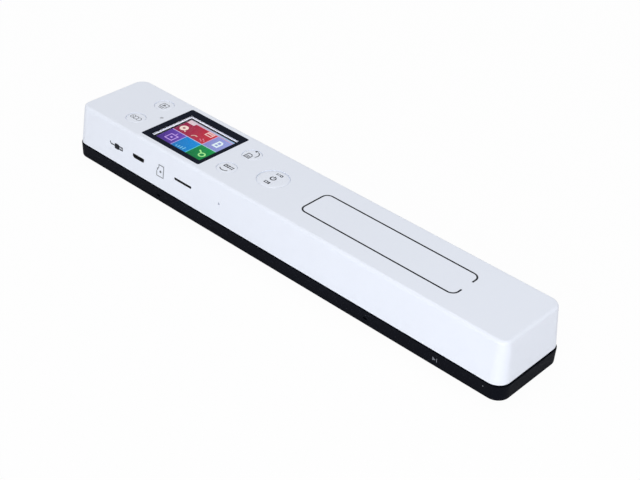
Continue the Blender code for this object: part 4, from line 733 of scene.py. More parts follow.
def base_cutters():
    tools = []
    reach = roller_high.z / 2
    half_y = math.sqrt(reach**2 - (reach - FLOOR_Z) ** 2) + POCKET_GAP
    inner_x, outer_x = roller_low.x - POCKET_GAP, bushing_low.x + POCKET_INTO_BUSHING
    for side_x, side_y in CORNERS:
        y = -side_y * axle_middle.y
        tools.append(floor_block(*sorted((side_x * inner_x, side_x * outer_x)), y - half_y, y + half_y))
    low, high = glass_low, glass_high
    tools.append(floor_block(low.x - SEAT_GAP, high.x + SEAT_GAP, low.y - SEAT_GAP, high.y + SEAT_GAP))
    for name in CASE_SCREWS:
        tools.append(upright_rod(name, SCREW_WAY, BASE_Z - OVERRUN, SPLIT_Z + OVERRUN, 32))
        tools.append(upright_rod(name, COUNTERBORE[0], BASE_Z - OVERRUN, base_low.z + COUNTERBORE[1], 40))
    face = -base_ring(SIDE_NOTCH_Z)[1]
    for x in SIDE_NOTCH_X:
        size = (SIDE_NOTCH.x, SIDE_NOTCH.z)
        tools.append(front_block(x, SIDE_NOTCH_Z, *size, face - SIDE_NOTCH.y, face + SIDE_NOTCH.y))
    half = (gear_high.x - gear_low.x) / 2 + GEAR_GAP[0]
    relief = (gear_high.z - gear_low.z) / 2 + GEAR_GAP[1]
    middle = middle_of("drive_gear")
    low = (middle.x - half, middle.y - relief, middle.z - relief)
    tools.append(block(low, (middle.x + half, middle.y + GEAR_BACK, FLOOR_Z + OVERRUN)))
    return tools


print("floor at", round(FLOOR_Z / MM, 2), "mm, notches at x =", [round(x / MM, 1) for x in SIDE_NOTCH_X])


# %% [markdown]
# ### Blocks that carry the axles
#
# Each axle end turns in a nylon bushing, which snaps down into a block with an open top. The gear
# and slotted wheel that counts the rollers' turns runs on a headed pin, held by a bracket. Both are
# part of the same moulding as the tray.
# %% Bearing blocks and the wheel's bracket
BLOCK_WALL = 1.3 * MM
BLOCK_TOP = 0.7 * MM
BLOCK_ENDS = (1.0 * MM, 0.3 * MM)
BLOCK_EDGE = 0.3 * MM
SLOT_HALF_WIDTH = 1.85 * MM
BUSHING_RADIUS = 2.2 * MM
PRESS_GAP = 0.15 * MM
ARM = 2.6 * MM
ARM_EDGE = 0.8 * MM
BRACKET = 2.0 * MM
BRACKET_GAP = 0.4 * MM
BRACKET_STEP = 0.2 * MM
POST_FROM_AXLE = 1.6 * MM
POST_FROM_SENSOR = 0.35 * MM
PIN_RADIUS, PIN_HEAD_RADIUS = 0.9 * MM, 1.35 * MM
PIN_ROOT = 0.8 * MM


def bearing_blocks():
    """The blocks, and the bore and slot of each."""
    blocks, bores = [], []
    hole = BUSHING_RADIUS + PRESS_GAP
    z = axle_middle.z
    for side_x, side_y in CORNERS:
        y = -side_y * axle_middle.y
        ends = (bushing_low.x + BLOCK_ENDS[0], bushing_high.x - BLOCK_ENDS[1])
        x1, x2 = sorted(side_x * end for end in ends)
        top = z + hole + BLOCK_TOP
        shape = block((x1, y - hole - BLOCK_WALL, FLOOR_Z - ROOTING), (x2, y + hole + BLOCK_WALL, top))
        round_off(shape, edges_at(shape, top), BLOCK_EDGE, 3)
        blocks.append(shape)
        bores.append(along_x(rod(hole, x1 - OVERRUN, x2 + OVERRUN, 48), 0, y, z))
        slot_low = (x1 - OVERRUN, y - SLOT_HALF_WIDTH, z)
        bores.append(block(slot_low, (x2 + OVERRUN, y + SLOT_HALF_WIDTH, top + OVERRUN)))
    return blocks, bores


def wheel_bracket():
    y, z = axle_middle.y, middle_of("encoder_wheel").z
    right = gear_low.x - BRACKET_GAP
    left = right - BRACKET
    post_y = y + POST_FROM_AXLE
    post = block((left, post_y, FLOOR_Z - ROOTING), (right, sensor_low.y - POST_FROM_SENSOR, z + ARM))
    arm_high = (right - BRACKET_STEP, post_y + ROOTING, z + ARM - BRACKET_STEP)
    arm = block((left + BRACKET_STEP, y - ARM, z - ARM), arm_high)
    round_off(arm, edges_along(arm, "x"), ARM_EDGE, 4)
    head_x = wheel_high.x + SEAT_GAP
    pin = along_x(rod(PIN_RADIUS, right - PIN_ROOT, head_x + ROOTING, 32), 0, y, z)
    head = along_x(rod(PIN_HEAD_RADIUS, head_x, head_x + PIN_ROOT, 32), 0, y, z)
    return [post, arm, pin, head]


print("axles at y = +-", round(abs(axle_middle.y) / MM, 2), "mm, height", round(axle_middle.z / MM, 2), "mm")


# %% Put the base together
def base_tray():
    outer = ring_block(base_ring, BASE_Z, RIM_Z)
    round_off(outer, edges_at(outer, BASE_Z), BASE_EDGE, 6)
    tray = finished(outer, "base_tray", "black_base")
    lip_out = SKIRT + SEAT_GAP
    lip_top = SPLIT_Z + LIP_HEIGHT
    join(tray, ring_block(shell_ring, RIM_Z - ROOTING, lip_top, lip_out))
    lower = ring_block(base_ring, FLOOR_Z, SPLIT_Z, lip_out + LIP)
    upper = ring_block(shell_ring, SPLIT_Z - ROOTING / 4, lip_top + OVERRUN, lip_out + LIP)
    cut(tray, lower, upper)
    blocks, bores = bearing_blocks()
    posts = [upright_rod(name, BOSS_RADIUS, FLOOR_Z - ROOTING, SPLIT_Z, 40) for name in CASE_SCREWS]
    join(tray, *blocks, *posts, *wheel_bracket())
    cut(tray, *bores)
    cut(tray, *base_cutters())
    tidy_mesh(tray, (at_height(BASE_Z), UNDER_RIM, 2), (at_height(RIM_Z), TOP_RIM, 2))
    hand_over(tray, "base_housing")


base_tray()

# %% [markdown]
# ## Printed marks
#
# A pad-printed mark is a film of ink some 0.02 mm thick. Each shape in a mark is an outline with the
# outlines of its holes. The operator `triangle_fill` fills it and an extrusion gives it thickness,
# so the edge of the ink is real. Small functions give what the marks share, written in millimetres:
# the outline of a disc or a box, and the shape of a ring, a bar, a border or a band along an arc.
# %% Outlines for marks
def disc(x, y, radius, steps=28):
    turns = [math.tau * i / steps for i in range(steps)]
    return [(x + radius * math.cos(t), y + radius * math.sin(t)) for t in turns]


def ring(x, y, radius, line):
    """A ring whose line is centred on its radius."""
    return [disc(x, y, radius + line / 2), disc(x, y, radius - line / 2)]


def band(x, y, radius, line, start, end, steps=20):
    """A band along an arc, from one angle to another in degrees."""
    turns = [math.radians(start + (end - start) * i / steps) for i in range(steps + 1)]
    outer, inner = radius + line / 2, radius - line / 2
    rim = [(x + outer * math.cos(t), y + outer * math.sin(t)) for t in turns]
    return [rim + [(x + inner * math.cos(t), y + inner * math.sin(t)) for t in reversed(turns)]]


def bar(x1, y1, x2, y2, line):
    side = Vector((y1 - y2, x2 - x1)).normalized() * line / 2
    ends = [(x1, y1, 1), (x2, y2, 1), (x2, y2, -1), (x1, y1, -1)]
    return [[(x + s * side.x, y + s * side.y) for x, y, s in ends]]


def box(x, y, width, height, corner=0.0, steps=6):
    """A rectangle about its middle, with round corners if corner isn't zero."""
    points = []
    for turn, (sx, sy) in enumerate(((1, 1), (-1, 1), (-1, -1), (1, -1))):
        middle = (x + sx * (width / 2 - corner), y + sy * (height / 2 - corner))
        count = steps if corner else 0
        for i in range(count + 1):
            t = math.pi / 2 * (turn + (i / count if count else 0))
            points.append((middle[0] + corner * math.cos(t), middle[1] + corner * math.sin(t)))
    return points


def border(x, y, width, height, line, corner=0.0):
    hole = box(x, y, width - 2 * line, height - 2 * line, max(corner - line, 0))
    return [box(x, y, width, height, corner), hole]


def at(x, y, z):
    return Matrix.Translation((x, y, z))


def print_mark(name, shapes, place, finish, depth=INK, body="housing"):
    """Fills and thickens shapes drawn in millimetres, and lays them where the matrix says."""
    film = bmesh.new()
    for outlines in shapes:
        edges = []
        for points in outlines:
            verts = [film.verts.new((x * MM, y * MM, 0)) for x, y in points]
            edges += [film.edges.new(pair) for pair in zip(verts, verts[1:] + verts[:1])]
        bmesh.ops.triangle_fill(film, edges=edges, use_beauty=True, use_dissolve=False, normal=(0, 0, 1))
    made = bmesh.ops.extrude_face_region(film, geom=film.faces[:])
    raised = [v for v in made["geom"] if isinstance(v, bmesh.types.BMVert)]
    bmesh.ops.translate(film, vec=(0, 0, depth), verts=raised)
    bmesh.ops.transform(film, matrix=place, verts=film.verts)
    hand_over(finished(film, name, finish), body=body)


# %% [markdown]
# Ink is not one flat tone either. It lies a little thicker at some places, and tiny pinholes let
# the plastic through. One group makes both, and dark ink, pale ink and the window's black border
# each set their own colour on it.
# %% Group: printed ink
def printed_ink_group():
    inputs = {"Ink": (0.1, 0.1, 0.1, 1), "Beneath": (0.8, 0.8, 0.8, 1), "Pinholes": 0.1}
    group, given, place = start_group("printed_ink", {**inputs, "Print Scale": 9000.0})
    film = noise(group, place, given["Print Scale"])
    holes = map_range(group, film, 0.62, 0.72, 0.0, given["Pinholes"])
    tone = blend_colours(group, holes, given["Ink"], given["Beneath"])
    gloss = map_range(group, film, 0.0, 1.0, 0.38, 0.55)
    return end_group(group, Colour=tone, Roughness=gloss, Height=film)


PRINTED_INK = printed_ink_group()


def ink(name, colour, beneath, pinholes=0.15, shine=0.5):
    values = {"Ink": (*colour, 1), "Beneath": (*beneath, 1), "Pinholes": pinholes}
    surface(name, PRINTED_INK, values, 0.003, {SHINE: shine})


ink("dark_ink", (0.008, 0.010, 0.015), WHITE, 0.04, 0.15)
ink("grey_ink", (0.13, 0.14, 0.16), WHITE)
ink("dim_ink", (0.14, 0.15, 0.18), (0.01, 0.01, 0.012))
print("finishes so far:", len(finishes))

# %% [markdown]
# ## The push buttons
#
# Each button is a turned cap with a flange under the roof, so it can't fall out, and a short stem
# that rests on its switch. Its profile is drawn from the middle of the top outwards and spun. The
# top is flat and falls away at its rim in a quarter of an ellipse. The near side of that rim faces
# the front light, and shows in the photograph as a soft light crescent.
# %% Turn the caps
FLANGE_TOP = ROOF_Z - 0.3 * MM
FLANGE_THICKNESS = 0.8 * MM
FLANGE_EDGE = 0.15 * MM
STEM_RADIUS = 1.5 * MM
STEM_FILLET = 0.25 * MM
STEM_EDGE = 0.2 * MM
CROWN = {"power": (2.6 * MM, 0.6 * MM), "small": (1.5 * MM, 0.4 * MM)}
face_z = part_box("power_button")[1].z


def quarter(radius_at, height_at, radius, steps):
    """Points of a round edge, from its top to its side."""
    turns = [math.pi / 2 * (1 - i / steps) for i in range(steps + 1)]
    return [(radius_at + radius * math.cos(t), height_at + radius * math.sin(t)) for t in turns]


def crown(radius, width, drop, steps=10):
    """Points of a flat top and its falling rim, from the middle outwards."""
    points = [(0, face_z), ((radius - width) / 2, face_z)]
    for i in range(steps + 1):
        turn = math.pi / 2 * i / steps
        points.append((radius - width + width * math.sin(turn), face_z - drop * (1 - math.cos(turn))))
    return points


def button_cap(name):
    node = name + "_button"
    low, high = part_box(node)
    radius, flange, edge = button_radius(name), (high.x - low.x) / 2, FLANGE_EDGE
    profile = crown(radius, *CROWN.get(name, CROWN["small"]))
    profile += [(radius, FLANGE_TOP + edge), (radius + edge, FLANGE_TOP)]
    profile += quarter(flange - edge, FLANGE_TOP - edge, edge, 3)
    under = FLANGE_TOP - FLANGE_THICKNESS
    profile += [(flange, under), (STEM_RADIUS + STEM_FILLET, under), (STEM_RADIUS, under - STEM_FILLET)]
    profile += [(STEM_RADIUS, low.z + STEM_EDGE), (STEM_RADIUS - STEM_EDGE, low.z), (0, low.z)]
    place = (low + high) / 2
    shape = moved(spun(profile, 96 if name == "power" else 72), place.x, place.y)
    deliver(shape, name + "_cap", "white_button", node, name + "_key")


for name in BUTTON_NAMES:
    button_cap(name)

# %% [markdown]
# ### Symbols on the buttons
#
# The symbols are plain ones that any such device could carry: a circle with a stroke for power,
# squares that grow for resolution, a folded page for file format, three overlapping rings for
# colour and a screen with a triangle for playback. Each rides on its own button.
# %% Print the symbols
def folded_page(x, y, width, height, line, fold):
    """A page whose upper right corner is folded down."""
    right, top, left, foot = x + width / 2, y + height / 2, x - width / 2, y - height / 2
    outer = [(left, foot), (right, foot), (right, top - fold), (right - fold, top), (left, top)]
    inner = [(left + line, foot + line), (right - line, foot + line), (right - line, top - fold - line / 3)]
    inner += [(right - fold - line / 3, top - line), (left + line, top - line)]
    return [outer, inner]


SYMBOLS = {
    "power": [
        border(-0.75, -3.8, 1.9, 1.7, 0.42), [box(0.95, -3.8, 0.9, 1.7)],
        band(-0.3, 0.3, 1.3, 0.6, 124, 416), bar(-0.3, 0.5, -0.3, 2.2, 0.6),
        bar(-1.7, 3.7, -1.7, 5.1, 0.45), bar(-1.0, 3.7, -0.2, 5.1, 0.38), ring(1.0, 4.35, 0.62, 0.45),
    ],
    "resolution": [
        border(-1.55, 1.1, 1.75, 2.0, 0.5), *[[box(0.25, 1.1 + side * 0.6, 1.2, 0.8)] for side in (-1, 1)],
        *[[box(2.2 + x * 0.5, 1.1 + y * 0.6, 0.65, 0.8)] for x, y in CORNERS],
        band(-0.2, 0.2, 3.0, 0.42, 222, 322),
    ],
    "file_format": [
        folded_page(-0.7, -1.55, 3.5, 3.9, 0.42, 1.2), *[bar(-1.75, y, 0.35, y, 0.4) for y in (-2.5, -1.6)],
        band(0.0, 1.0, 2.6, 0.42, -36, 84), [[(-0.3, 2.8), (-0.3, 4.35), (-1.5, 3.55)]],
    ],
    "colour_mode": [
        ring(-2.0, 0.1, 1.25, 0.36), *[band(x, 0.1, 1.25, 0.36, -138, 138) for x in (0.0, 2.0)],
        [disc(-2.0, 0.1, 0.45, 16)],
    ],
    "playback": [
        border(0.4, -0.2, 4.4, 3.8, 0.42, 0.9), [[(-0.5, -1.3), (1.5, -0.2), (-0.5, 0.9)]],
        bar(-1.0, -2.9, 1.8, -2.9, 0.42),
    ],
}

for name, shapes in SYMBOLS.items():
    place = middle_of(name + "_button")
    tone = "grey_ink" if name in ("colour_mode", "playback") else "dark_ink"
    print_mark(name + "_symbol", shapes, at(place.x, place.y, face_z), tone, body=name + "_key")

# %% [markdown]
# ## Marks on the shell and the base
#
# A thin printed outline, open at its right side, frames a bare field on the roof. The front has a
# plain plug by the socket and a card outline by the card slot, and the base has two small pale
# marks near its right end. Marks on the front lie on a face that leans, so the matrix that places
# them tips by the same angle.
# %% Print the roof, front and base marks
FIELD_LOW, FIELD_HIGH = (8.1, -8.5), (92.4, 9.35)
FIELD_GAP = (-3.2, 3.9)
FIELD_LINE, FIELD_CORNER = 0.82, 3.2
PLUG_MARK = (usb_middle.x - 14.4 * MM, 16.6 * MM)
CARD_MARK = (card_x - 15.2 * MM, 16.9 * MM)
END_MARK = (95.9 * MM, 3.9 * MM)
EDGE_DOT = (119.8 * MM, 5.0 * MM)
LEAN = math.atan(SIDE_DRAFT / (TOP_Z - SPLIT_Z))
BASE_LEAN = math.atan(BASE_TAPER / (SPLIT_Z - BASE_Z))


def open_field():
    """The printed outline: four corners, three whole sides and a side with a gap."""
    (x1, y1), (x2, y2), r, line = FIELD_LOW, FIELD_HIGH, FIELD_CORNER, FIELD_LINE
    corners = [(x2 - r, y2 - r, 0), (x1 + r, y2 - r, 90), (x1 + r, y1 + r, 180), (x2 - r, y1 + r, 270)]
    shapes = [band(x, y, r, line, turn, turn + 90) for x, y, turn in corners]
    shapes += [bar(x1 + r, y, x2 - r, y, line) for y in (y1, y2)]
    shapes.append(bar(x1, y1 + r, x1, y2 - r, line))
    return shapes + [bar(x2, y1 + r, x2, FIELD_GAP[0], line), bar(x2, FIELD_GAP[1], x2, y2 - r, line)]


def on_front(x, z):
    """Where a mark on the shell's leaning front goes: its own X runs right and its own Y runs up."""
    return at(x, front_wall_y(z), z) @ Matrix.Rotation(math.pi / 2 - LEAN, 4, "X")


def on_base(x, z):
    wall = -base_ring(z)[1] - INK / 4
    return at(x, wall, z) @ Matrix.Rotation(math.pi / 2 + BASE_LEAN, 4, "X")


# A plug from its side: a cord, a body with a grip and a shell with two contacts.
plug = [band(-4.6, 1.1, 1.1, 0.5, 180, 270), bar(-4.6, 0, -2.4, 0, 0.5)]
plug += [[box(-0.9, 0, 3.0, 2.7, 0.5)], border(1.95, 0, 2.7, 1.9, 0.42)]
plug += [bar(1.6, y, 2.6, y, 0.3) for y in (0.35, -0.35)]
# A small card: an outline with a stepped side, a dot in it and a notch mark.
card_outer = [(-2.4, -3.1), (2.4, -3.1), (2.4, 3.1), (-1.2, 3.1), (-1.2, 1.6), (-1.75, 1.0)]
card_outer += [(-1.75, 0.2), (-2.4, -0.4)]
card_inner = [(-2.05, -2.75), (2.05, -2.75), (2.05, 2.75), (-0.85, 2.75), (-0.85, 1.45)]
card_inner += [(-1.4, 0.85), (-1.4, 0.35), (-2.05, -0.25)]
card = [[card_outer, card_inner], [disc(0.2, -0.3, 0.62, 16)], bar(-1.9, 0.2, -1.9, 1.0, 0.4)]
end_mark = [[[(-1.2, 0.95), (0.5, 0.0), (-1.2, -0.95)]], bar(0.95, -1.0, 0.95, 1.0, 0.36)]

print_mark("field_outline", open_field(), at(0, 0, SKIN_TOP_Z), "dark_ink")
print_mark("plug_mark", plug, on_front(*PLUG_MARK), "dark_ink")
print_mark("card_mark", card, on_front(*CARD_MARK), "grey_ink")
print_mark("scan_end_mark", end_mark, on_base(*END_MARK), "dim_ink")
print_mark("edge_dot", [[disc(0, 0, 0.28, 18)]], on_base(*EDGE_DOT), "dim_ink")

# %% [markdown]
# ## The display
#
# From the top down, the display is a black printed border, a clear acrylic sheet set flush in the
# roof, a ring of thin tape, and the display module in a white frame. The edge of that frame is the
# pale L at the back and left of the picture, seen past the border.
# %% Group: glass smudges
def smudge_group():
    inputs = {"Roughness": 0.02, "Smudge": 0.08, "Smudge Scale": 70.0}
    group, given, place = start_group("handled_surface", inputs)
    patch = map_range(group, noise(group, place, given["Smudge Scale"], 5.0), 0.5, 0.75)
    gloss = maths(group, "MULTIPLY_ADD", patch, given["Smudge"], given["Roughness"])
    return end_group(group, Roughness=gloss, Height=noise(group, place, 260.0, 1.0))


SMUDGE = smudge_group()


def clear(name, colour, ior, smudge, shine):
    """A clear material. Lamp rays pass straight through it, so that what lies behind is lit."""
    settings = {"Base Color": (*colour, 1), "IOR": ior, "Transmission Weight": 1.0, SHINE: shine}
    tree = surface(name, SMUDGE, {"Roughness": 0.01, "Smudge": smudge}, 0.0004, settings)
    passing = add_node(tree, "BsdfTransparent", {"Color": (*colour, 1)})
    rays = add_node(tree, "LightPath").outputs["Is Shadow Ray"]
    mix_shaders(tree, rays, tree.nodes["Principled BSDF"], passing)


clear("display_window", (0.97, 0.975, 0.985), 1.006, 0.04, 0.5)
clear("scan_glass", (0.93, 0.98, 0.96), 1.52, 0.06, 0.35)
milky = {"Transmission Weight": 0.25}
moulded_plastic("light_pipe", (0.50, 0.52, 0.56), 0.3, 2600, 0.002, 0.05, settings=milky)
moulded_plastic("mounting_tape", (0.02, 0.02, 0.022), 0.75, 5200, 0.02, 0.25)
ink("border_ink", (0.013, 0.016, 0.026), (0.02, 0.02, 0.03), 0.2, 0.0)

# %% [markdown]
# ### Window, border and tape
#
# The sheet is a rounded block with its upper edge broken by 0.12 mm, as a router leaves it. Its
# coating against reflections is drawn as an index of refraction just above 1. The border on top
# of it and the tape under it are outlines with a hole, thickened like the printed marks.
# %% Build the window
SHEET_EDGE = 0.12 * MM
BORDER_FILM = 0.1 * MM
BORDER_INSIDE = (-82.9 * MM, -12.76 * MM, -50.25 * MM, 12.4 * MM)
BORDER_CORNER = 0.35
BORDER_INSET = 0.02 * MM
TAPE_LAP = 0.3 * MM
TAPE_THICKNESS = 0.2 * MM
TAPE_INSET = 0.4 * MM
TAPE_LIFT = 0.01 * MM
TAPE_CORNER = 0.3


def between(low_x, low_y, high_x, high_y, corner):
    """The outline between two corners given in metres; its own corner is in millimetres."""
    low, high = Vector((low_x, low_y)) / MM, Vector((high_x, high_y)) / MM
    return box(*(low + high) / 2, *(high - low), corner)


def inside_window(inset_x, inset_y, corner):
    low, high = window_low, window_high
    return between(low.x + inset_x, low.y + inset_y, high.x - inset_x, high.y - inset_y, corner)


def sheet_outline(inset):
    return inside_window(inset, inset, (WINDOW_CORNER - inset) / MM)


sheet_top = window_high.z - 1.1 * BORDER_FILM
shape = rounded_block(window_low, (window_high.x, window_high.y, sheet_top), WINDOW_CORNER, 8)
round_off(shape, edges_at(shape, sheet_top), SHEET_EDGE, 3)
deliver(shape, "window_sheet", "display_window", "display_window")
border_shape = [[sheet_outline(BORDER_INSET), between(*BORDER_INSIDE, BORDER_CORNER)]]
border_place = at(0, 0, window_high.z - BORDER_FILM)
print_mark("window_border", border_shape, border_place, "border_ink", depth=BORDER_FILM)
tape_hole = inside_window(VIEW_BORDER_X - TAPE_LAP, VIEW_BORDER_Y - TAPE_LAP, TAPE_CORNER)
tape_place = at(0, 0, LEDGE_Z + TAPE_LIFT)
tape = [[sheet_outline(TAPE_INSET), tape_hole]]
print_mark("window_tape", tape, tape_place, "mounting_tape", depth=TAPE_THICKNESS)

# %% [markdown]
# ### The white frame and the module
#
# The frame is a shallow tray with the middle cut out. The module is a dark slab of glass, and a
# black seal fills the gap round it. The camera looks in past the border, so it sees the frame's
# left and back walls as a light strip, lit partly by the frame's painted glow, and the seal as a
# dark line inside it.
# %% Build the frame and the module
frame_low, frame_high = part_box("display_frame")
panel_low, panel_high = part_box("display_panel")
LIP_INSIDE = (-84.1 * MM, -11.9 * MM, -51.0 * MM, 13.86 * MM)
FRAME_WALL = 0.35 * MM
FRAME_CORNER = 0.5 * MM
MOUTH_CORNER = 0.25 * MM
MOUTH_EDGE = 0.07 * MM
PANEL_CORNER = 0.3 * MM
PANEL_EDGE = 0.08 * MM
SEAL_CORNER = 0.1
PANEL_HEADROOM = 0.06 * MM
SEAL_THICKNESS = 0.2 * MM
moulded_plastic("display_panel", (0.008, 0.009, 0.012), 0.16, 6000, 0.001, 0.15, 0.05, {SHINE: 0.2})


def white_frame():
    shape = rounded_block(frame_low, frame_high, FRAME_CORNER, 5)
    tray = finished(shape, "display_surround", "white_frame")
    inside = (frame_low.x + FRAME_WALL, frame_low.y + FRAME_WALL)
    inside += (frame_high.x - FRAME_WALL, frame_high.y - FRAME_WALL)
    hollow = block((*inside[:2], frame_low.z - OVERRUN), (*inside[2:], panel_high.z + PANEL_HEADROOM))
    mouth_low = (*LIP_INSIDE[:2], panel_high.z - OVERRUN)
    mouth_high = (*LIP_INSIDE[2:], frame_high.z + OVERRUN)
    cut(tray, hollow, rounded_block(mouth_low, mouth_high, MOUTH_CORNER, 4))
    tidy_mesh(tray, (at_height(frame_high.z), MOUTH_EDGE, 2))
    hand_over(tray, "display_frame")
    hole = between(*panel_low.xy, *panel_high.xy, SEAL_CORNER)
    seal = [[between(*inside, SEAL_CORNER), hole]]
    seal_place = at(0, 0, panel_high.z - SEAL_THICKNESS)
    print_mark("light_seal", seal, seal_place, "mounting_tape", depth=SEAL_THICKNESS)


white_frame()
shape = rounded_block(panel_low, panel_high, PANEL_CORNER, 4)
round_off(shape, edges_at(shape, panel_high.z), PANEL_EDGE, 2)
deliver(shape, "display_module", "display_panel", "display_panel")

# %% [markdown]
# ### The picture
#
# The display shows a plain menu of coloured tiles. Each tile is a thin film that gives off its own
# light, and a group draws the display's dots over it: thin dark lines 0.095 mm apart, which is the
# pitch of 320 dots across 30 mm. The group darkens its colour only a little, so a tile seen from
# afar keeps the tone it was given.
# %% Group: screen dots
GREY = (0.5, 0.5, 0.5, 1)
LINE_SHARE = 0.14


def screen_dots_group():
    inputs = {"First": GREY, "Second": GREY, "Share": 0.0}
    inputs.update({"Dots Each Metre": 10500.0, "Line Darkness": 0.3})
    group, given, place = start_group("screen_dots", inputs)
    cells = vectors(group, "FRACTION", vectors(group, "SCALE", place, Scale=given["Dots Each Metre"]))
    parts = add_node(group, "SeparateXYZ", {"Vector": cells}).outputs
    line = maths(group, "LESS_THAN", maths(group, "MINIMUM", parts["X"], parts["Y"]), LINE_SHARE)
    light = maths(group, "SUBTRACT", 1.0, maths(group, "MULTIPLY", line, given["Line Darkness"]))
    tone = blend_colours(group, given["Share"], given["First"], given["Second"])
    return end_group(group, Colour=vectors(group, "SCALE", tone, Scale=light), Height=light)


SCREEN_DOTS = screen_dots_group()
PICTURE_MIDDLE = (-67.78, 1.22)


def screen_colour(levels):
    """A colour as light values, from the 0 to 255 values that a screen would show."""
    shares = [level / 255 for level in levels]
    return (*[s / 12.92 if s < 0.04 else ((s + 0.055) / 1.055) ** 2.4 for s in shares], 1)


def glowing(name, first, second, low, high):
    """A lit film. Its colour runs from first to second between two corners of the picture."""
    settings = {"Emission Strength": 1.0, "Base Color": (0.004, 0.004, 0.005, 1)}
    settings.update({"Roughness": 0.35, SHINE: 0.02})
    values = {"First": screen_colour(first), "Second": screen_colour(second or first)}
    tree = surface(name, SCREEN_DOTS, values, 0.001, settings, "Emission Color")
    if second:
        place = add_node(tree, "TexCoord").outputs["Object"]
        run = Vector((high[0] - low[0], high[1] - low[1], 0)) * MM
        corner = (Vector((*low, 0)) + Vector((*PICTURE_MIDDLE, 0))) * MM
        start = vectors(tree, "SUBTRACT", place, corner)
        along = vectors(tree, "DOT_PRODUCT", start, run / run.length_squared)
        share = add_node(tree, "Clamp", {"Value": along})
        tree.links.new(share.outputs[0], tree.nodes["Group"].inputs["Share"])


# %% [markdown]
# The menu has a front row of three tiles and a back row of a double tile and a single one, with a
# status strip behind. Pale separators take the tint of their neighbours. The symbols are plain
# ones: a scan frame, level bars, a magnifier, a dial, a card and a page.
# %% Lay out the menu
LEFT, RIGHT = -14.9, 16.2
FRONT, BACK = -12.9, 11.43
COLUMN = 9.93
ROW, STRIP = -0.7, 9.9
FIRST, SECOND = LEFT + COLUMN, LEFT + 2 * COLUMN
LINE = 0.42
GAP = LINE / 2
FILM = 0.03 * MM
LAYER = 1.3 * FILM
PICTURE_Z = panel_high.z + 0.012 * MM


def show(name, shapes, first, second=None, low=(0, 0), high=(1, 1), layer=1):
    glowing("lit_" + name, first, second, low, high)
    place = at(PICTURE_MIDDLE[0] * MM, PICTURE_MIDDLE[1] * MM, PICTURE_Z + layer * LAYER)
    print_mark("picture_" + name, shapes, place, "lit_" + name, FILM)


TILES = (
    ("purple", (LEFT, FRONT), (FIRST - GAP, ROW - GAP), (64, 44, 120), (116, 80, 190)),
    ("blue", (FIRST + GAP, FRONT), (SECOND - GAP, ROW - GAP), (40, 120, 190), (20, 145, 225)),
    ("green", (SECOND + GAP, FRONT), (RIGHT, ROW - GAP), (16, 110, 62), (28, 160, 82)),
    ("red", (LEFT, ROW + GAP), (SECOND - GAP, STRIP), (140, 46, 84), (206, 52, 62)),
    ("lavender", (SECOND + GAP, ROW + GAP), (RIGHT, STRIP), (140, 140, 206), (160, 172, 232)),
    ("strip", (LEFT, STRIP + 0.35), (RIGHT, BACK), (214, 190, 206), (150, 190, 232)),
)
for name, low, high, first, second in TILES:
    middle = ((low[0] + high[0]) / 2, (low[1] + high[1]) / 2)
    show(name, [[box(*middle, high[0] - low[0], high[1] - low[1])]], first, second, low, high, 0)

row_line = [bar(LEFT, ROW, RIGHT, ROW, LINE)]
show("row_line", row_line, (208, 176, 240), (170, 226, 226), (LEFT, 0), (RIGHT, 0), 0)
LINES = {
    "first_line": ((FIRST, FRONT, FIRST, ROW - GAP, LINE), (176, 170, 240)),
    "second_line": ((SECOND, FRONT, SECOND, ROW - GAP, LINE), (90, 214, 214)),
    "third_line": ((SECOND, ROW + GAP, SECOND, STRIP, LINE), (236, 170, 196)),
    "strip_line": ((LEFT, STRIP + 0.17, RIGHT, STRIP + 0.17, 0.34), (238, 164, 180)),
}
for name, (ends, colour) in LINES.items():
    show(name, [bar(*ends)], colour, layer=0)

patch = [[box(-12.3, 9.5, 4.6, 2.6, 0.5)]]
show("pale_patch", patch, (238, 206, 214), (226, 212, 222), (-14, 7.5), (-10, 10.5))
rises = ((-2.4, 1.1), (-0.9, 1.5), (0.6, 1.9), (2.1, 2.3))
dots = ((2.1, 2.9), (3.4, 2.1), (1.1, 1.9), (2.4, 1.1))
scan_frame = [border(-9.4, -6.5, 4.9, 4.9, 0.5), [box(-9.4, -6.5, 1.1, 1.1)]]
PICTURES = {
    "scan_frame": (scan_frame + [bar(-9.4, -3.9, -9.4, -2.4, 0.4)], (206, 168, 246)),
    "levels": ([bar(x, -10.4, x, rise - 10.4, 0.55) for x, rise in rises], (128, 206, 236)),
    "magnifier": ([ring(11.8, -7.1, 1.5, 0.75), bar(10.4, -6.1, 8.1, -4.7, 0.75)], (168, 240, 150)),
    "dial": ([ring(-11.6, 3.5, 1.45, 1.5), bar(-9.6, 2.1, -8.7, 1.4, 0.5)], (250, 226, 214)),
    "small_arc": ([band(-2.4, 0.9, 1.7, 0.6, 60, 175)], (222, 190, 176)),
    "card": ([border(1.3, 8.1, 4.4, 3.4, 0.6), bar(-0.2, 8.4, 2.8, 8.4, 0.7)], (252, 208, 204)),
    "dots": ([[disc(x, y, 0.34, 14)] for x, y in dots], (246, 168, 190)),
    "page": ([folded_page(10.2, 4.8, 3.6, 5.4, 1.0, 1.2), bar(9.3, 4.5, 11.1, 4.5, 0.6)], (232, 248, 252)),
}
for name, (shapes, colour) in PICTURES.items():
    show(name, shapes, colour)

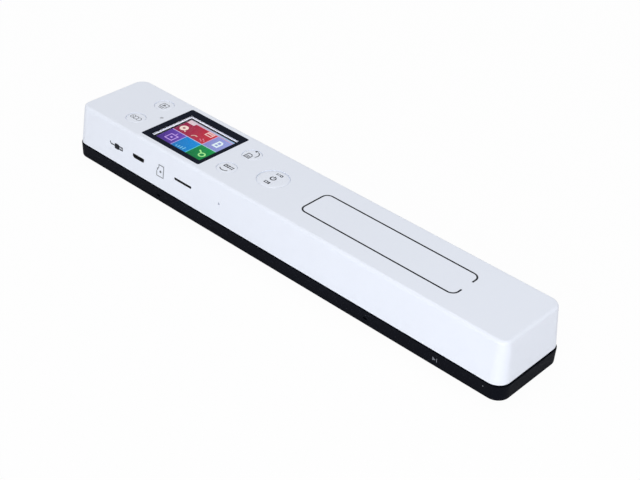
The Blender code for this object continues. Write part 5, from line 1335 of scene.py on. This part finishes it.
# %% [markdown]
# ## The lamp's light pipe
#
# The pipe is a clear turned pin with a collar under the roof. Its top is very slightly domed and
# satin, so the lamp below it reads as a soft grey dot while it is off.
# %% Build the light pipe
PIPE_DOME = 0.06 * MM
PIPE_EDGE = 0.1 * MM
COLLAR_Z = FLANGE_TOP - 0.6 * MM
low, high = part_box("status_light_pipe")
collar = (high.x - low.x) / 2
profile = [(PIPE_RADIUS * i / 6, high.z - PIPE_DOME * (i / 6) ** 2) for i in range(7)]
profile += [(PIPE_RADIUS, FLANGE_TOP + PIPE_EDGE), (PIPE_RADIUS + PIPE_EDGE, FLANGE_TOP)]
profile += [(collar, FLANGE_TOP), (collar, COLLAR_Z), (PIPE_RADIUS, COLLAR_Z)]
profile += [(PIPE_RADIUS - PIPE_EDGE, low.z), (0, low.z)]
shape = moved(spun(profile, 40), (low.x + high.x) / 2, (low.y + high.y) / 2)
deliver(shape, "light_pipe", "light_pipe", "status_light_pipe")

# %% [markdown]
# ## Finishes of the inner pieces
#
# Most small pieces are moulded too, so they use the moulding group with their own grain. Metal gets
# a group of its own: long fine lines from drawing, turning or grinding, which are noise stretched
# along the tool's path, a little tarnish, and a gloss that follows the lines.
# %% Group: drawn metal
def drawn_metal_group():
    inputs = {"Colour": (0.6, 0.6, 0.6, 1), "Tarnish": (0.3, 0.28, 0.25, 1)}
    inputs.update({"Stretch": (300.0, 9000.0, 9000.0), "Roughness": 0.25, "Line Contrast": 0.18})
    group, given, place = start_group("drawn_metal", inputs)
    lines = noise(group, vectors(group, "MULTIPLY", place, given["Stretch"]), 1.0, 3.0)
    stain = map_range(group, noise(group, place, 320.0, 4.0), 0.5, 0.8, 0.0, 0.45)
    tone = blend_colours(group, stain, given["Colour"], given["Tarnish"])
    gloss = maths(group, "MULTIPLY_ADD", lines, given["Line Contrast"], given["Roughness"])
    return end_group(group, Colour=tone, Roughness=gloss, Height=lines)


DRAWN_METAL = drawn_metal_group()


def metal(name, colour, tarnish, roughness, stretch, contrast=0.18, depth=0.002):
    values = {"Colour": (*colour, 1), "Tarnish": (*tarnish, 1), "Stretch": stretch}
    values.update({"Roughness": roughness, "Line Contrast": contrast})
    surface(name, DRAWN_METAL, values, depth, {"Metallic": 1.0})


ALONG_X, ALONG_Y, EVEN = (260, 9000, 9000), (9000, 260, 9000), (900, 900, 900)
ROUND_X, ROUND_Z = (9000, 420, 420), (420, 420, 9000)
metal("plated_steel", (0.60, 0.60, 0.61), (0.42, 0.40, 0.36), 0.24, ALONG_X)
metal("axle_steel", (0.60, 0.60, 0.61), (0.40, 0.38, 0.35), 0.16, ROUND_X)
metal("screw_steel", (0.20, 0.20, 0.21), (0.10, 0.09, 0.08), 0.30, ROUND_Z)
metal("gear_brass", (0.70, 0.52, 0.25), (0.38, 0.24, 0.10), 0.24, ROUND_X)
metal("battery_foil", (0.62, 0.64, 0.66), (0.50, 0.51, 0.53), 0.34, EVEN, 0.22, 0.05)
metal("contact_gold", (0.83, 0.62, 0.28), (0.60, 0.42, 0.18), 0.2, ALONG_Y)
metal("solder", (0.62, 0.62, 0.60), (0.40, 0.40, 0.38), 0.32, EVEN)
PLAIN = {
    "black_component": ((0.018, 0.018, 0.020), 0.48, 4200, 0.02, 0.25),
    "black_plunger": ((0.026, 0.026, 0.028), 0.36, 5200, 0.006, 0.15),
    "pale_nylon": ((0.74, 0.73, 0.67), 0.46, 3600, 0.012, 0.06),
    "sensor_housing": ((0.018, 0.018, 0.021), 0.58, 2600, 0.03, 0.35),
    "red_lead": ((0.46, 0.018, 0.016), 0.38, 1800, 0.01, 0.12),
    "black_lead": ((0.017, 0.017, 0.018), 0.38, 1800, 0.01, 0.12),
    "foam_pad": ((0.045, 0.045, 0.047), 0.92, 1500, 0.22, 0.4),
    "roller_rubber": ((0.024, 0.024, 0.026), 0.74, 5200, 0.05, 0.3),
    "status_lamp": ((0.80, 0.79, 0.62), 0.22, 3000, 0.004, 0.04),
    "ceramic": ((0.32, 0.22, 0.13), 0.4, 5000, 0.004, 0.2),
}
for slot, values in PLAIN.items():
    moulded_plastic(slot, *values)
ink("board_print", (0.70, 0.72, 0.70), (0.02, 0.14, 0.06), 0.2)
print("finishes so far:", len(finishes))

# %% [markdown]
# Four finishes repeat a small pattern at a real pitch: the glass weave under the board's green
# resist, the copper tracks in the amber ribbon, the rods of the lens array, and the light guide's
# notches. One group draws them all, as soft stripes or dots, and gives out a mask.
# %% Group: fine pattern
def fine_pattern_group():
    inputs = {"Pitch": (1000.0, 1000.0, 0.0), "Line Share": 0.5, "Dots": 0.0}
    group, given, place = start_group("fine_pattern", inputs)
    cells = vectors(group, "FRACTION", vectors(group, "MULTIPLY", place, given["Pitch"]))
    size = vectors(group, "ABSOLUTE", vectors(group, "SUBTRACT", cells, (0.5, 0.5, 0.5)))
    parts = add_node(group, "SeparateXYZ", {"Vector": size}).outputs
    square = maths(group, "MULTIPLY_ADD", parts["X"], parts["X"], 0.0)
    square = maths(group, "MULTIPLY_ADD", parts["Y"], parts["Y"], square)
    lines = maths(group, "MINIMUM", parts["X"], parts["Y"])
    ends = {"Factor": given["Dots"], "A": lines, "B": maths(group, "SQRT", square)}
    reach = add_node(group, "Mix", ends).outputs["Result"]
    mask = maths(group, "LESS_THAN", reach, maths(group, "MULTIPLY", given["Line Share"], 0.5))
    return end_group(group, Mask=mask)


FINE_PATTERN = fine_pattern_group()


def patterned(name, ground, pattern, roughness, pitch, share, dots=0.0, settings=None):
    """A moulded ground with a fine pattern of another colour in it."""
    tree = moulded_plastic(name, ground, roughness, 3000, 0.004, 0.1, settings=settings)
    values = {"Pitch": pitch, "Line Share": share, "Dots": dots}
    mask = add_node(tree, "Group", values, node_tree=FINE_PATTERN).outputs["Mask"]
    base = tree.nodes["Principled BSDF"].inputs["Base Color"]
    tree.links.new(blend_colours(tree, mask, base.links[0].from_socket, (*pattern, 1)), base)


halfway = {"Transmission Weight": 0.5}
patterned("circuit_board", (0.012, 0.105, 0.045), (0.018, 0.135, 0.06), 0.3, (2200, 2200, 0), 0.35)
patterned("ribbon_film", (0.60, 0.34, 0.10), (0.34, 0.15, 0.05), 0.28, (1000, 0, 0), 0.5)
patterned("lens_array", (0.012, 0.012, 0.014), (0.10, 0.12, 0.15), 0.2, (1650, 1650, 0), 0.72, 1.0)
patterned("light_guide", (0.66, 0.72, 0.74), (0.86, 0.88, 0.88), 0.12, (700, 0, 0), 0.3, 0.0, halfway)
print("all finishes:", len(finishes))

# %% [markdown]
# ## Broken edges
#
# Even a stamped or cut piece has no perfectly sharp edge. Where the frame's own shape is already
# right, a copy of its mesh is merged, its flat faces are made whole again, and a Bevel modifier
# breaks its edges by a few hundredths of a millimetre.
# %% Dress a frame piece
ROUND = math.radians(60)
PLUNGER_BEND = math.radians(50)


def dressed(node, slot, edge, steps=2, bend=BEND, smooth=SHARP, body="housing", finish=None):
    """A merged copy of a frame piece, its edges broken by so many millimetres, that stands for it."""
    shape = merged(frame["nodes"][node].data)
    piece = finished(shape, node + "_piece", finish or slot, smooth)
    if edge:
        rim = piece.modifiers.new("Broken edges", "BEVEL")
        rim.width = edge * MM
        rim.segments = steps
        rim.limit_method = "ANGLE"
        rim.angle_limit = bend
        rim.use_clamp_overlap = True
        rim.miter_outer = "MITER_ARC"
        steady_shading(piece)
    hand_over(piece, node, body)


# %% [markdown]
# ## The sockets behind the front
#
# Each socket's opening is lined with a dark liner, so the front shows a crisp black shape and no
# white wall round it. The liner is painted shade: it stands in for the shade on the opening's walls.
# Behind the liners are the folded steel shell with its tongue, the card socket's sheet cover with
# contact springs, and the reset switch's plunger.
# %% Line the openings with painted shade
LINER_WALL = 0.16 * MM
LINER_FIT = 0.015 * MM
LINER_DROP = 0.13 * MM
CARD_SHARE = (0.6, 0.7)
LINER_SEAT = 0.04 * MM


# A dark liner is painted shade: it stands in for the shade on the walls of an opening.
def line_with_painted_shade(name, outer, hole):
    liner = finished(outer, name, "black_component")
    cut(liner, hole)
    tidy_mesh(liner)
    hand_over(liner)


low_y = front_wall_y(usb_middle.z) + LINER_DROP
high_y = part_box("usb_socket_shell")[0].y - LINER_SEAT
width, foot, height = [size - 2 * LINER_FIT for size in SOCKET_OPENING]
wall = 2 * LINER_WALL
hole = plug_block(width - wall, foot - LINER_WALL, height - wall, low_y - OVERRUN, high_y + OVERRUN)
line_with_painted_shade("socket_shade_liner", plug_block(width, foot, height, low_y, high_y), hole)
half_x, half_z = [size / 2 - LINER_FIT for size in CARD_SLOT]
low = Vector((card_x - half_x, front_wall_y(card_slot_z) + LINER_DROP * CARD_SHARE[0], card_slot_z - half_z))
high = Vector((card_x + half_x, card_low.y - LINER_SEAT, card_slot_z + half_z))
inset = Vector((LINER_WALL, -OVERRUN, LINER_WALL * CARD_SHARE[1]))
line_with_painted_shade("card_shade_liner", block(low, high), block(low + inset, high - inset))

# %% [markdown]
# The shell of the socket is folded from sheet, and gold contacts lie on its tongue. The card
# socket's cover has a row of contact springs over it.
# %% Dress the sockets
CONTACT_SIZE, CONTACT_PITCH = (0.35, 1.6, 0.03), 0.65 * MM
CONTACT_FROM_TIP, CONTACT_DROP = 1.1 * MM, 0.32 * MM
SPRING_SIZE, SPRING_PITCH = (0.5, 3.4, 0.06), 1.1 * MM
FIRST_SPRING = Vector((2.4, 8.0)) * MM
SPRING_DROP = 0.45 * MM


def place_blocks(name, blocks, finish, edge=0.0):
    """Small blocks in one piece. Each has the place of its middle and its size, in millimetres."""
    whole = bmesh.new()
    for middle, size in blocks:
        half = Vector(size) * MM / 2
        part = block(Vector(middle) - half, Vector(middle) + half)
        if edge:
            round_off(part, part.edges[:], edge * MM, 1)
        mesh = bpy.data.meshes.new("part")
        part.to_mesh(mesh)
        part.free()
        whole.from_mesh(mesh)
        bpy.data.meshes.remove(mesh)
    hand_over(finished(whole, name, finish))


dressed("usb_socket_shell", "plated_steel", 0.05)
dressed("usb_socket_tongue", "black_component", 0.06)
dressed("card_socket_cover", "plated_steel", 0.04)
dressed("card_socket_base", "black_component", 0.04)
dressed("reset_plunger", "black_plunger", 0.12, 3, body="reset_key")
dressed("reset_switch", "black_component", 0.08)
tongue_low, tongue_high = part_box("usb_socket_tongue")
y, z = tongue_low.y + CONTACT_FROM_TIP, (tongue_low.z + tongue_high.z) / 2 - CONTACT_DROP
contacts = [((usb_middle.x + i * CONTACT_PITCH, y, z), CONTACT_SIZE) for i in range(-2, 3)]
place_blocks("socket_contacts", contacts, "contact_gold")
x, y = card_low.xy + FIRST_SPRING
springs = [((x + i * SPRING_PITCH, y, card_high.z - SPRING_DROP), SPRING_SIZE) for i in range(8)]
place_blocks("card_contacts", springs, "contact_gold")

# %% [markdown]
# ## The running gear
#
# Four rubber rollers carry the wand over the page. Each is a turned tread with round shoulders and
# two fine grooves, on a steel axle whose ends have a groove for assembly and a small chamfer. The
# nylon bushings have a flange inside. All are spun profiles, laid along X and moved to their axle.
# %% Turn the rollers, axles and bushings
CHAMFER = 0.2 * MM
BORE_FIT = 0.15 * MM
SHOULDER = 0.5 * MM
TREAD_GROOVE = (0.16 * MM, 0.3 * MM, 0.18 * MM)
GROOVE_SHARE = 0.36
WEB_SHARE = 0.62
WEB_DEPTH = 0.3 * MM
HUB_WALL = 0.7 * MM
SOFT = 0.1 * MM
CLIP_GROOVE = (0.22 * MM, 1.0 * MM)
BUSHING_BORE = 1.5 * MM
BUSHING_FLANGE = 0.7 * MM
BUSHING_EDGE = 0.15 * MM


def roller_profile(radius, half, bore):
    """A closed ring of points: bore, end face, round shoulder, grooved tread and back again."""
    shoulder = quarter(radius - SHOULDER, half - SHOULDER, SHOULDER, 5)
    depth, wide, narrow = TREAD_GROOVE
    tread = []
    for middle in (half * GROOVE_SHARE, -half * GROOVE_SHARE):
        tread += [(radius, middle + wide), (radius - depth, middle + narrow)]
        tread += [(radius - depth, middle - narrow), (radius, middle - wide)]
    web, hub, web_z = radius * WEB_SHARE, bore + HUB_WALL, half - WEB_DEPTH
    face = [(bore, half - SOFT), (bore + SOFT, half), (hub, half), (hub + SOFT, web_z)]
    face += [(web, web_z), (web + SOFT, half)]
    return face + shoulder + tread + mirrored(shoulder) + mirrored(face) + [face[0]]


def shaft_profile(half, radius):
    depth, place = CLIP_GROOVE[0], half - CLIP_GROOVE[1]
    end = [(0, half), (radius - CHAMFER, half), (radius, half - CHAMFER)]
    end += [(radius, place + CHAMFER), (radius - depth, place + CHAMFER)]
    end += [(radius - depth, place - CHAMFER), (radius, place - CHAMFER)]
    return end + mirrored(end)


def bushing_profile(half, outer, flange, side):
    """side is 1 when the flange is at the lower end of the profile."""
    inner, soft, top = BUSHING_BORE, BUSHING_EDGE, BUSHING_FLANGE - half
    points = [(inner, half), (outer - soft, half), (outer, half - soft), (outer, top)]
    points += [(flange - soft, top), (flange, top - soft), (flange, soft - half)]
    points += [(flange - soft, -half), (inner + soft, -half), (inner, soft - half)]
    if side < 0:
        points = mirrored(points)
    return points + [points[0]]


def turned_piece(name, profile, steps, x, axis_node, slot, node, body="housing"):
    axis = middle_of(axis_node)
    deliver(along_x(spun(profile, steps), x, axis.y, axis.z), name, slot, node, body)


for axle in ("front_axle", "rear_axle"):
    shaft = axle + "_shaft"
    low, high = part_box(shaft)
    shaft_radius = (high.z - low.z) / 2
    turned_piece(axle + "_rod", shaft_profile(high.x, shaft_radius), 48, 0, shaft, "axle_steel", shaft, axle)
    for side, end in (("left", -1), ("right", 1)):
        node = f"{axle}_{side}_roller"
        low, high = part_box(node)
        profile = roller_profile((high.z - low.z) / 2, (high.x - low.x) / 2, shaft_radius + BORE_FIT)
        x = (low.x + high.x) / 2
        turned_piece(f"{axle}_{side}_tread", profile, 72, x, shaft, "roller_rubber", node, axle)
        node = f"{axle}_{side}_bushing"
        low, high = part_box(node)
        profile = bushing_profile((high.x - low.x) / 2, BUSHING_RADIUS, (high.z - low.z) / 2, end)
        x = (low.x + high.x) / 2
        turned_piece(f"{axle}_{side}_bearing", profile, 48, x, node, "pale_nylon", node)

dressed("drive_gear", "gear_brass", 0.04, 1, body="front_axle")
dressed("encoder_wheel", "pale_nylon", 0.05, 1, body="encoder")
dressed("photo_interrupter", "black_component", 0.15)

# %% [markdown]
# ## Screws
#
# A case screw's head is domed, with a cross recess pressed in, and its shank has a rolled thread.
# The thread is drawn as rings with the real pitch, which looks the same at this size. The recess is
# two crossed wedges, cut out of the head.
# %% Make the screws
THREAD_PITCH = 0.55 * MM
THREAD_DEPTH = 0.14 * MM
THREAD_CREST = 0.1 * MM
THREAD_START = 0.8 * MM
SHANK = 0.8 * MM
POINT = 0.6 * MM
HEAD_HEIGHTS = {"case": 0.8 * MM, "board": 1.1 * MM}
DOME_SHARES = (0.35, 0.65, 0.55)
RECESS = (1.7 * MM, 0.42 * MM, 0.5 * MM)
WEDGE_SHARE = 0.55
NECK = (0.04 * MM, 0.2 * MM, 0.1 * MM)


def screw_profile(low_z, high_z, head_radius, head_height):
    seat = low_z + head_height
    z = high_z - POINT
    profile = [(0, high_z), (SHANK - POINT / 2, high_z), (SHANK, z)]
    while z - THREAD_PITCH > seat + THREAD_START:
        root = (SHANK - THREAD_DEPTH, z - THREAD_PITCH / 2)
        profile += [(SHANK, z - THREAD_CREST), root, (SHANK, z - THREAD_PITCH)]
        z -= THREAD_PITCH
    profile += [(SHANK - NECK[0], seat + NECK[1]), (SHANK + NECK[2], seat), (head_radius, seat)]
    rim, rise, narrowing = DOME_SHARES
    for i in range(7):
        drop = head_height * (rim + rise * math.sin(i / 6 * math.pi / 2))
        profile.append((head_radius * (1 - narrowing * (i / 6) ** 2), seat - drop))
    return profile + [(0, low_z)]


def make_screw(node):
    low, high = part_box(node)
    x, y = middle_of(node).xy
    profile = screw_profile(low.z, high.z, (high.x - low.x) / 2, HEAD_HEIGHTS[node.split("_")[0]])
    screw = finished(moved(spun(profile, 32), x, y), node + "_piece", "screw_steel")
    length, thickness, depth = RECESS
    wings = []
    for width, reach in ((length, thickness), (thickness, length)):
        wing_low = (x - width / 2, y - reach / 2, low.z - OVERRUN)
        wing = block(wing_low, (x + width / 2, y + reach / 2, low.z + depth))
        tip = [v for v in wing.verts if v.co.z > low.z]
        about = Matrix.Translation((-x, -y, 0))
        bmesh.ops.scale(wing, vec=(WEDGE_SHARE, WEDGE_SHARE, 1), verts=tip, space=about)
        wings.append(wing)
    cut(screw, *wings)
    tidy_mesh(screw)
    hand_over(screw, node)


for node in CASE_SCREWS + BOARD_SCREWS:
    make_screw(node)

# %% [markdown]
# ## The image sensor
#
# The sensor lies along the base and looks down through its glass. Its glass is float glass with
# ground edges. Behind it run the light guide, a clear rod with notches, and the lens array, a dark
# bar in which two rows of rod ends show.
# %% Dress the sensor
GROUND_EDGE = 0.25 * MM
GROUND_BEND = math.radians(20)
shape = block(glass_low, glass_high)
round_off(shape, shape.edges[:], GROUND_EDGE, 1)
deliver(shape, "scan_glass", "scan_glass", "sensor_glass", smooth=GROUND_BEND)
dressed("sensor_housing", "sensor_housing", 0.2)
dressed("light_guide", "light_pipe", 0.12, 2, ROUND, ROUND, finish="light_guide")
dressed("rod_lens_array", "lens_array", 0.08)
dressed("sensor_board", "circuit_board", 0.05, 1)
dressed("sensor_ribbon", "ribbon_film", 0, smooth=ROUND)
dressed("ribbon_connector", "pale_nylon", 0.1)

# %% [markdown]
# ## Inside: board, switches and battery
#
# The board is green solder resist over a glass weave. Chips, rows of small resistors and
# capacitors, plated tracks and a printed outline round each small chip make it read as a real board.
# Its small parts are blocks, joined in one piece for each kind.
# %% Dress the board
BOARD_TOP, BOARD_FOOT = board_high.z, board_low.z
LEG_PITCH, LEG_OUT, LEG_DROP = 0.55 * MM, 0.35 * MM, 0.1 * MM
LEG_SIZE = (0.22, 0.6, 0.28)
LEGS_ON_A_SIDE = 16
ROW_PITCH = 1.5
PASSIVE_BODY, PASSIVE_END = (0.8, 0.5, 0.5), (0.22, 0.54, 0.54)
PASSIVE_LIFT, END_OUT = 0.27 * MM, 0.5 * MM
CHIP_HEIGHT, CHIP_LIFT, CHIP_EDGE = 0.9, 0.5 * MM, 0.08
DOT_INSET = 1.2 * MM
PRINT_MARGIN, PRINT_LINE = 1.2, 0.15
PASSIVE_ROWS = ((-44.5, 12.0, 5, 0), (-26.5, -14.0, 6, 0), (-27.0, 12.0, 6, 0))
PASSIVE_ROWS += ((-8.0, 6.0, 4, 1), (-8.0, -12.0, 4, 1))
CHIPS = ((-28.0, -1.0, 5.0, 4.0), (-8.5, -3.5, 3.0, 3.0), (-44.0, 0.5, 3.4, 5.0))
dressed("main_board", "circuit_board", 0.06, 1)
dressed("processor", "black_component", 0.12, 1)
chip_low, chip_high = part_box("processor")
chip_middle = (chip_low + chip_high) / 2
corner_dot = at(chip_low.x + DOT_INSET, chip_low.y + DOT_INSET, chip_low.z - INK)
print_mark("processor_dot", [[disc(0, 0, 0.45)]], corner_dot, "board_print")


def turned(size):
    """A block's size with its X and Y exchanged."""
    return size[1], size[0], size[2]


def processor_legs():
    """Flat legs along all four sides, which reach up to the board."""
    legs = []
    x, y = chip_middle.xy
    reach = (chip_high.x - chip_low.x) / 2 + LEG_OUT
    foot = (chip_high.z + BOARD_FOOT) / 2 - LEG_DROP
    for i in range(LEGS_ON_A_SIDE):
        along = (i - (LEGS_ON_A_SIDE - 1) / 2) * LEG_PITCH
        for side in (-1, 1):
            legs.append(((x + along, y + side * reach, foot), LEG_SIZE))
            legs.append(((x + side * reach, y + along, foot), turned(LEG_SIZE)))
    place_blocks("processor_legs", legs, "solder")


def passive_rows():
    """Rows of small two-ended parts on the board's top: a ceramic body between solder ends."""
    bodies, ends = [], []
    z = BOARD_TOP + PASSIVE_LIFT
    for start_x, start_y, count, upright in PASSIVE_ROWS:
        for i in range(count):
            x = (start_x + (0 if upright else ROW_PITCH * i)) * MM
            y = (start_y + (ROW_PITCH * i if upright else 0)) * MM
            bodies.append(((x, y, z), PASSIVE_BODY if upright else turned(PASSIVE_BODY)))
            for step in (-END_OUT, END_OUT):
                place = (x + step, y, z) if upright else (x, y + step, z)
                ends.append((place, PASSIVE_END if upright else turned(PASSIVE_END)))
    place_blocks("board_passives", bodies, "ceramic")
    place_blocks("board_solder_ends", ends, "solder")


processor_legs()
passive_rows()
chips = [((x * MM, y * MM, BOARD_TOP + CHIP_LIFT), (w, d, CHIP_HEIGHT)) for x, y, w, d in CHIPS]
place_blocks("board_chips", chips, "black_component", CHIP_EDGE)
chip_prints = [border(x, y, w + PRINT_MARGIN, d + PRINT_MARGIN, PRINT_LINE) for x, y, w, d in CHIPS]
tracks = [bar(-33.0 + 1.0 * i, -16.0, -33.0 + 1.0 * i, -12.0 - 0.5 * i, 0.2) for i in range(5)]
print_mark("board_outlines", chip_prints, at(0, 0, BOARD_TOP), "board_print")
print_mark("board_tracks", tracks, at(0, 0, BOARD_TOP), "solder")

# %% [markdown]
# A tactile switch is a black base under a thin steel cover with a hole for its plunger, four rivet
# heads and four short legs. The lamp is a milky body.
# %% Dress the switches and the lamp
COVER = 0.2 * MM
COVER_MARGIN, COVER_CORNER = 0.5, 0.4
COVER_LIFT, RIVET_LIFT = 0.01 * MM, 0.012 * MM
HOLE_GAP = 0.2
RIVET_SHARE, RIVET_RADIUS = 0.4, 0.32
RIVET_HEIGHT = 0.1 * MM
SWITCH_LEG = (0.7, 0.7, 0.16)
SWITCH_LEG_OUT, SWITCH_LEG_SPREAD, SWITCH_LEG_LIFT = 0.35 * MM, 2.2 * MM, 0.1 * MM


def tact_switch(name):
    low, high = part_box(name + "_switch")
    x, y = middle_of(name + "_switch").xy
    dressed(name + "_switch", "black_component", 0.1)
    dressed(name + "_plunger", "black_plunger", 0.1, 2, PLUNGER_BEND, PLUNGER_BEND, name + "_key")
    plunger_low, plunger_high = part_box(name + "_plunger")
    hole = (plunger_high.x - plunger_low.x) / 2 / MM + HOLE_GAP
    side = (high.x - low.x) / MM - COVER_MARGIN
    plate = [[box(0, 0, side, side, COVER_CORNER), disc(0, 0, hole, 36)]]
    place = at(x, y, high.z + COVER_LIFT)
    print_mark(name + "_cover", plate, place, "plated_steel", COVER)
    out = side * RIVET_SHARE
    rivets = [[disc(sx * out, sy * out, RIVET_RADIUS, 14)] for sx, sy in CORNERS]
    place = at(x, y, high.z + COVER + RIVET_LIFT)
    print_mark(name + "_rivets", rivets, place, "black_component", RIVET_HEIGHT)
    out, spread = (high.x - low.x) / 2 + SWITCH_LEG_OUT, SWITCH_LEG_SPREAD
    z = BOARD_TOP + SWITCH_LEG_LIFT
    legs = [((x + sx * out, y + sy * spread, z), SWITCH_LEG) for sx, sy in CORNERS]
    place_blocks(name + "_legs", legs, "solder")


for name in BUTTON_NAMES:
    tact_switch(name)
dressed("status_lamp", "status_lamp", 0.1)

# %% [markdown]
# The battery is a foil pouch: soft edges, a folded seam down each long side, and a strip of amber
# tape over the end where the leads come out. The foil's finish wrinkles it a little. Foam sticks it
# to the roof.
# %% Dress the battery
POUCH_CORNER = 1.2 * MM
POUCH_EDGE = 1.8 * MM
TAPE_X = battery_low.x + 2.4 * MM
TAPE_SIZE, TAPE_OUT = (3.6, 24, 0.07), 0.03 * MM
SEAM_WIDTH, SEAM_HEIGHT, SEAM_EDGE = 0.24, 3.2, 0.06
SEAM_ENDS = 4
SEAM_INSET, SEAM_DROP = 0.08 * MM, 0.4 * MM


def battery_pouch():
    shape = block(battery_low, battery_high)
    round_off(shape, edges_along(shape, "z"), POUCH_CORNER, 4)
    rims = edges_at(shape, battery_low.z) + edges_at(shape, battery_high.z)
    round_off(shape, rims, POUCH_EDGE, 6)
    deliver(shape, "battery_pouch", "battery_foil", "battery")
    middle = (battery_low + battery_high) / 2
    y, z = battery_high.y - SEAM_INSET, middle.z - SEAM_DROP
    seam = ((battery_high.x - battery_low.x) / MM - SEAM_ENDS, SEAM_WIDTH, SEAM_HEIGHT)
    seams = [((middle.x, side * y, z), seam) for side in (-1, 1)]
    place_blocks("battery_seams", seams, "battery_foil", SEAM_EDGE)
    heights = (battery_low.z - TAPE_OUT, battery_high.z + TAPE_OUT)
    tapes = [((TAPE_X, 0, z), TAPE_SIZE) for z in heights]
    place_blocks("battery_tape", tapes, "ribbon_film")


battery_pouch()
dressed("battery_pad", "foam_pad", 0.15)
dressed("battery_lead_positive", "red_lead", 0, smooth=ROUND)
dressed("battery_lead_negative", "black_lead", 0, smooth=ROUND)
left_out = [name for name, node in frame["nodes"].items() if not node.hide_render]
print("frame pieces still shown:", left_out)

# %% [markdown]
# ## Floor, backdrop and light
#
# The photograph is a studio shot on pure white, in which even the shadow has nearly gone. The floor
# is plain white paper. For rays from the camera it mostly gives off white, and keeps only a little
# of its shading, so the scanner stands on a faint shadow. The world is soft grey light for surfaces
# and plain white where the camera, a gloss or a glass sees it.
# %% Lay the floor and light the air
FLOOR_GLOW = 0.96
FLOOR_REACH = 3.0
SOFT_LIGHT = 0.54
PURE_WHITE = {"Color": (1, 1, 1, 1), "Strength": 1.0}


def floor():
    tree = start_material("paper_floor", {"Base Color": (0.82, 0.82, 0.83, 1), "Roughness": 0.9})
    glow = add_node(tree, "Emission", PURE_WHITE)
    rays = add_node(tree, "LightPath").outputs["Is Camera Ray"]
    share = maths(tree, "MULTIPLY", rays, FLOOR_GLOW)
    mix_shaders(tree, share, tree.nodes["Principled BSDF"], glow)
    shape = bmesh.new()
    bmesh.ops.create_grid(shape, x_segments=1, y_segments=1, size=FLOOR_REACH)
    finished(shape, "floor", "paper_floor")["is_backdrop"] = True


def world():
    made = bpy.data.worlds.new("studio")
    bpy.context.scene.world = made
    made.use_nodes = True
    tree = made.node_tree
    soft = tree.nodes["Background"]
    soft.inputs["Color"].default_value = (1, 1, 1, 1)
    soft.inputs["Strength"].default_value = SOFT_LIGHT
    white = add_node(tree, "Background", PURE_WHITE)
    rays = add_node(tree, "LightPath").outputs
    seen = maths(tree, "MAXIMUM", rays["Is Camera Ray"], rays["Is Glossy Ray"])
    seen = maths(tree, "MAXIMUM", seen, rays["Is Transmission Ray"])
    mix_shaders(tree, seen, soft, white, "World Output")


floor()
world()
print("soft light", SOFT_LIGHT, "and a floor", 2 * FLOOR_REACH, "m wide")

# %% [markdown]
# Three softboxes shape the body. The one in front makes the front face the brightest, the one at
# the right keeps the end from going dull, and the one overhead draws light lines along the roof's
# rounded edges and the near rim of the power button.
# %% Set up the softboxes
SOFTBOXES = {
    "front_softbox": ((0.35, -0.9, 0.3), (0.8, 0.5), 4.4),
    "right_softbox": ((0.75, -0.15, 0.65), (0.5, 0.5), 1.9),
    "top_softbox": ((-0.3, 0.25, 0.9), (0.45, 0.45), 1.4),
}
for name, (place, size, power) in SOFTBOXES.items():
    lamp = bpy.data.lights.new(name, "AREA")
    lamp.shape = "RECTANGLE"
    lamp.size, lamp.size_y = size
    lamp.energy = power
    softbox = bpy.data.objects.new(name, lamp)
    softbox.rotation_euler = (-Vector(place)).to_track_quat("-Z", "Y").to_euler()
    softbox.location = place
    bpy.context.scene.collection.objects.link(softbox)
    print(name, "gives", power, "W from", place)

# %% [markdown]
# ## The size of both
#
# The imported model's box and the dressed scanner's box are both printed, so they can be compared.
# The dressed scanner has to stay inside the imported model's box.
# %% Write down both boxes and finish
made_box = [list(corner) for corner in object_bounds()]
for label, (low, high) in (("frame", cad_box), ("dressed", made_box)):
    print(label, [round(value / MM, 3) for value in low + high], "mm")
